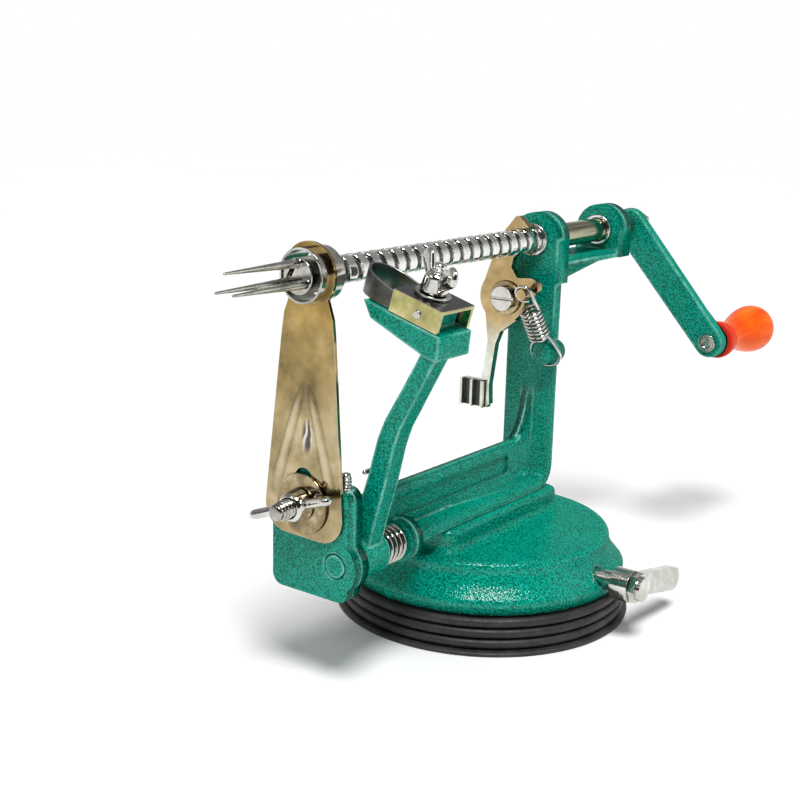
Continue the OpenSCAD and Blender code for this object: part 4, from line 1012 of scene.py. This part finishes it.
def round_edges(name, width, wide=(), casting=False):
    """Rounds the sharp edges of a node, as far as its shape leaves room.

    wide lists tests of a vertex, in millimetres, each with the width of the fillet that it picks.
    On a casting, points that the rounding leaves very close together become one.
    """
    made = NODES[name]
    for polygon in made.data.polygons:
        polygon.use_smooth = True
    weld = made.modifiers.new("weld", "WELD")
    weld.merge_threshold = WELD_GAP * MM
    flat = made.modifiers.new("flat", "DECIMATE")
    flat.decimate_type = "DISSOLVE"
    flat.angle_limit = math.radians(FLAT_ANGLE)
    for i, (picks, greater) in enumerate(wide):
        group = made.vertex_groups.new(name=f"wide_{i}")
        group.add([v.index for v in made.data.vertices if picks(v.co / MM)], 1.0, "REPLACE")
        fillet = made.modifiers.new(f"fillet_{i}", "BEVEL")
        fillet.width = greater * MM
        fillet.segments = FILLET_SEGMENTS
        fillet.limit_method = "VGROUP"
        fillet.vertex_group = group.name
        fillet.use_clamp_overlap = False
    bevel = made.modifiers.new("bevel", "BEVEL")
    bevel.width = width * MM
    bevel.segments = EDGE_SEGMENTS
    bevel.limit_method = "ANGLE"
    bevel.angle_limit = math.radians(EDGE_ANGLE)
    bevel.use_clamp_overlap = True
    if casting:
        close = made.modifiers.new("close", "WELD")
        close.merge_threshold = CLOSE_GAP * MM
    made.modifiers.new("normals", "WEIGHTED_NORMAL").keep_sharp = False


def set_material(made, material):
    made.data.materials.clear()
    made.data.materials.append(material)
    for polygon in made.data.polygons:
        polygon.material_index = 0


make_camera()

# Finishes
ENAMEL = make_enamel()
UP = (0.0, 0.0, 1.0)
HEAD_UP = (0.0, -math.sin(math.radians(HEAD_TILT)), math.cos(math.radians(HEAD_TILT)))
HOLDER_TOP = Vector(HEAD_UP).dot(Vector(HEAD_PLACE)) + HOLDER_H
# Box over the feed lever's tab grooves, painted dark as shade.
TAB_GROOVES = ((17.0, 13.0, 71.0), (18.4, 25.0, 82.6))
NICKEL = make_metal("nickel", (0.46, 0.45, 0.41), (0.62, 0.61, 0.57), (0.80, 0.79, 0.76), 0.04, 0.12)
RING = make_metal("bushing", (0.66, 0.66, 0.62), (0.80, 0.80, 0.77), (0.90, 0.90, 0.88), 0.10, 0.25,
                  corners=0.15)
# Painted reflection: the holder's top face turns dark blue, for the dark room above it.
ZINC = make_metal("yellow_zinc", (0.30, 0.27, 0.11), (0.50, 0.46, 0.20), (0.70, 0.66, 0.38), 0.10, 0.22,
                  turn=(HEAD_UP, (HOLDER_TOP - 0.45) * MM, (HOLDER_TOP - 0.05) * MM, (0.20, 0.23, 0.50)))
STEEL = make_metal("bright_steel", (0.30, 0.29, 0.26), (0.52, 0.51, 0.47), (0.76, 0.75, 0.71), 0.08, 0.20)
TAN = make_metal("tan_plate", (0.11, 0.085, 0.045), (0.30, 0.23, 0.125), (0.58, 0.48, 0.31), 0.07, 0.18)
GREY = make_metal("grey_strip", (0.105, 0.108, 0.105), (0.165, 0.168, 0.162), (0.25, 0.25, 0.24), 0.30, 0.45)
LEVER = make_metal("lever_plate", (0.52, 0.55, 0.46), (0.68, 0.71, 0.62), (0.86, 0.88, 0.82), 0.08, 0.20,
                   turn=(UP, 0.092, 0.110, (0.68, 0.47, 0.25)), groove_shade_box=TAB_GROOVES)
# Painted reflection: the blade's tan colours and the warmer tint toward its top stand for warm surroundings
# seen in the steel; relief adds painted shade and highlight on the ribs.
BLADE = make_metal("blade_steel", (0.18, 0.145, 0.072), (0.385, 0.305, 0.160), (0.60, 0.50, 0.32), 0.06, 0.17,
                   blotch=60.0, turn=(UP, 0.090, 0.128, (0.86, 0.72, 0.40)), relief="relief")
SCREW = make_thread_metal()
RUBBER = make_rubber()
LACQUER = make_lacquer()

# Pieces that are made here, each with its finish
MADE = (
    (make_drive_screw, SCREW),
    (make_lever_spring, NICKEL),
    (make_blade_nut, NICKEL),
    (make_holder_nut, NICKEL),
    (make_arm_spring, STEEL),
    (make_blade_stud, STEEL),
    (make_anchor, STEEL),
    (make_holder_bolt, NICKEL),
    (make_handle, LACQUER),
    (make_pad, RUBBER),
    (make_peeling_blade, GREY),
    (make_slicing_blade, BLADE),
)
for maker, material in MADE:
    piece, body, slot = maker()
    set_material(piece, material)
    if "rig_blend" not in piece:
        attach(piece, body)

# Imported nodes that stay, each with the most that its edges may be rounded, in millimetres
CASTINGS = {"suction_base": 1.0, "frame": 1.2, "peeling_arm": 0.9, "crank_arm": 1.2}
WIDE = {"suction_base": ((on_saddle_top, 2.2), (on_saddle_foot, 3.0))}
for name, width in CASTINGS.items():
    round_edges(name, width, wide=WIDE.get(name, ()), casting=True)
    set_material(NODES[name], ENAMEL)

SMALL = {
    "arm_pivot_pin": (0.5, ENAMEL),
    "feed_lever": (0.35, LEVER),
    "lever_pivot_screw": (0.4, NICKEL),
    "lever_washer": (0.2, TAN),
    "blade_washer": (0.3, TAN),
    "front_bushing": (0.4, RING),
    "rear_bushing": (0.4, RING),
    "blade_holder": (0.35, ZINC),
    "holder_washer": (0.2, NICKEL),
    "suction_lever": (0.7, NICKEL),
    "suction_lever_nut": (0.4, NICKEL),
    "blade_rivets": (0.4, NICKEL),
    "base_screws": (0.4, STEEL),
    "cam_shaft": (0.3, STEEL),
    "draw_stem": (0.4, STEEL),
    "coring_ring": (0.15, STEEL),
    "thrust_washer": (0.2, STEEL),
    "fork": (0.3, STEEL),
    "crank_spacer": (0.3, STEEL),
    "crank_nut": (0.5, STEEL),
    "handle_axle": (0.3, STEEL),
}
for name, (width, material) in SMALL.items():
    round_edges(name, width)
    set_material(NODES[name], material)


# Floor, world and lamps
def make_floor():
    size = 6.0
    corners = [(-size, -size, 0), (size, -size, 0), (size, size, 0), (-size, size, 0)]
    mesh = bpy.data.meshes.new("floor")
    mesh.from_pydata(corners, [], [(0, 1, 2, 3)])
    floor = add_object("floor", mesh)
    material, tree, shader, coords = start_material("floor")
    tone = ramp(tree, noise(tree, coords, 3.0, detail=2.0), [(0.3, grey(0.955)), (0.7, grey(0.97))])
    tree.links.new(tone, shader.inputs["Base Color"])
    shader.inputs["Roughness"].default_value = 0.8
    shader.inputs["Specular IOR Level"].default_value = 0.1
    set_material(floor, material)


def make_world():
    """White to the camera, an even light on the object, and in its gloss a room that is dark in front."""
    world = bpy.data.worlds.new("studio")
    bpy.context.scene.world = world
    world.use_nodes = True
    tree = world.node_tree
    tree.nodes.clear()
    white = (1.0, 1.0, 1.0, 1.0)
    front = (-0.88, -0.47, 0.0)
    toward = node(tree, "ShaderNodeTexCoord").outputs["Generated"]
    near = map_range(tree, vector_math(tree, "DOT_PRODUCT", toward, front, output="Value"), 0.0, 0.95)
    room = ramp(tree, near, [(0.0, grey(0.85)), (0.30, grey(0.50)), (0.62, grey(0.12)), (1.0, grey(0.04))])
    up = node(tree, "ShaderNodeSeparateXYZ", {"Vector": toward}).outputs["Z"]
    ceiling = ramp(tree, up, [(0.10, grey(1.0)), (0.45, grey(0.34))])
    room = mix_colour(tree, 1.0, room, ceiling, "MULTIPLY")
    studio = node(tree, "ShaderNodeBackground", {"Color": room, "Strength": 1.0}).outputs[0]
    backdrop = node(tree, "ShaderNodeBackground", {"Color": white, "Strength": 1.0}).outputs[0]
    ambient = node(tree, "ShaderNodeBackground", {"Color": white, "Strength": 0.275}).outputs[0]
    path = node(tree, "ShaderNodeLightPath").outputs
    gloss = math_node(tree, "MAXIMUM", path["Is Glossy Ray"], path["Is Transmission Ray"])
    light = node(tree, "ShaderNodeMixShader", {0: gloss, 1: ambient, 2: studio}).outputs[0]
    seen = node(tree, "ShaderNodeMixShader", {0: path["Is Camera Ray"], 1: light, 2: backdrop}).outputs[0]
    node(tree, "ShaderNodeOutputWorld", {"Surface": seen})


def add_lamp(name, place, aim, width, height, power, colour):
    """A soft box at a place, turned toward its aim."""
    data = bpy.data.lights.new(name, "AREA")
    data.shape = "RECTANGLE"
    data.size = width
    data.size_y = height
    data.energy = power
    data.color = colour
    lamp = bpy.data.objects.new(name, data)
    lamp.location = place
    lamp.rotation_euler = (Vector(aim) - Vector(place)).to_track_quat("-Z", "Y").to_euler()
    bpy.context.scene.collection.objects.link(lamp)


def add_sun(toward, power, angle):
    """A broad soft sun, so that the floor is lit alike all over."""
    data = bpy.data.lights.new("sky", "SUN")
    data.energy = power
    data.angle = math.radians(angle)
    lamp = bpy.data.objects.new("sky", data)
    lamp.rotation_euler = (-Vector(toward)).to_track_quat("-Z", "Y").to_euler()
    bpy.context.scene.collection.objects.link(lamp)


make_floor()
make_world()
MIDDLE = (0.0, 0.0, 0.08)
add_sun(toward=(-0.52, -0.50, 1.42), power=2.80, angle=20.0)
add_lamp("left_box", (-0.70, 0.25, 0.75), MIDDLE, width=0.40, height=0.60, power=1.0,
         colour=(1.0, 0.98, 0.95))
add_lamp("right_box", (0.45, -0.85, 0.55), MIDDLE, width=0.35, height=0.60, power=0.8,
         colour=(0.97, 0.985, 1.0))

SETTINGS = bpy.context.scene.view_settings
SETTINGS.view_transform = "Standard"
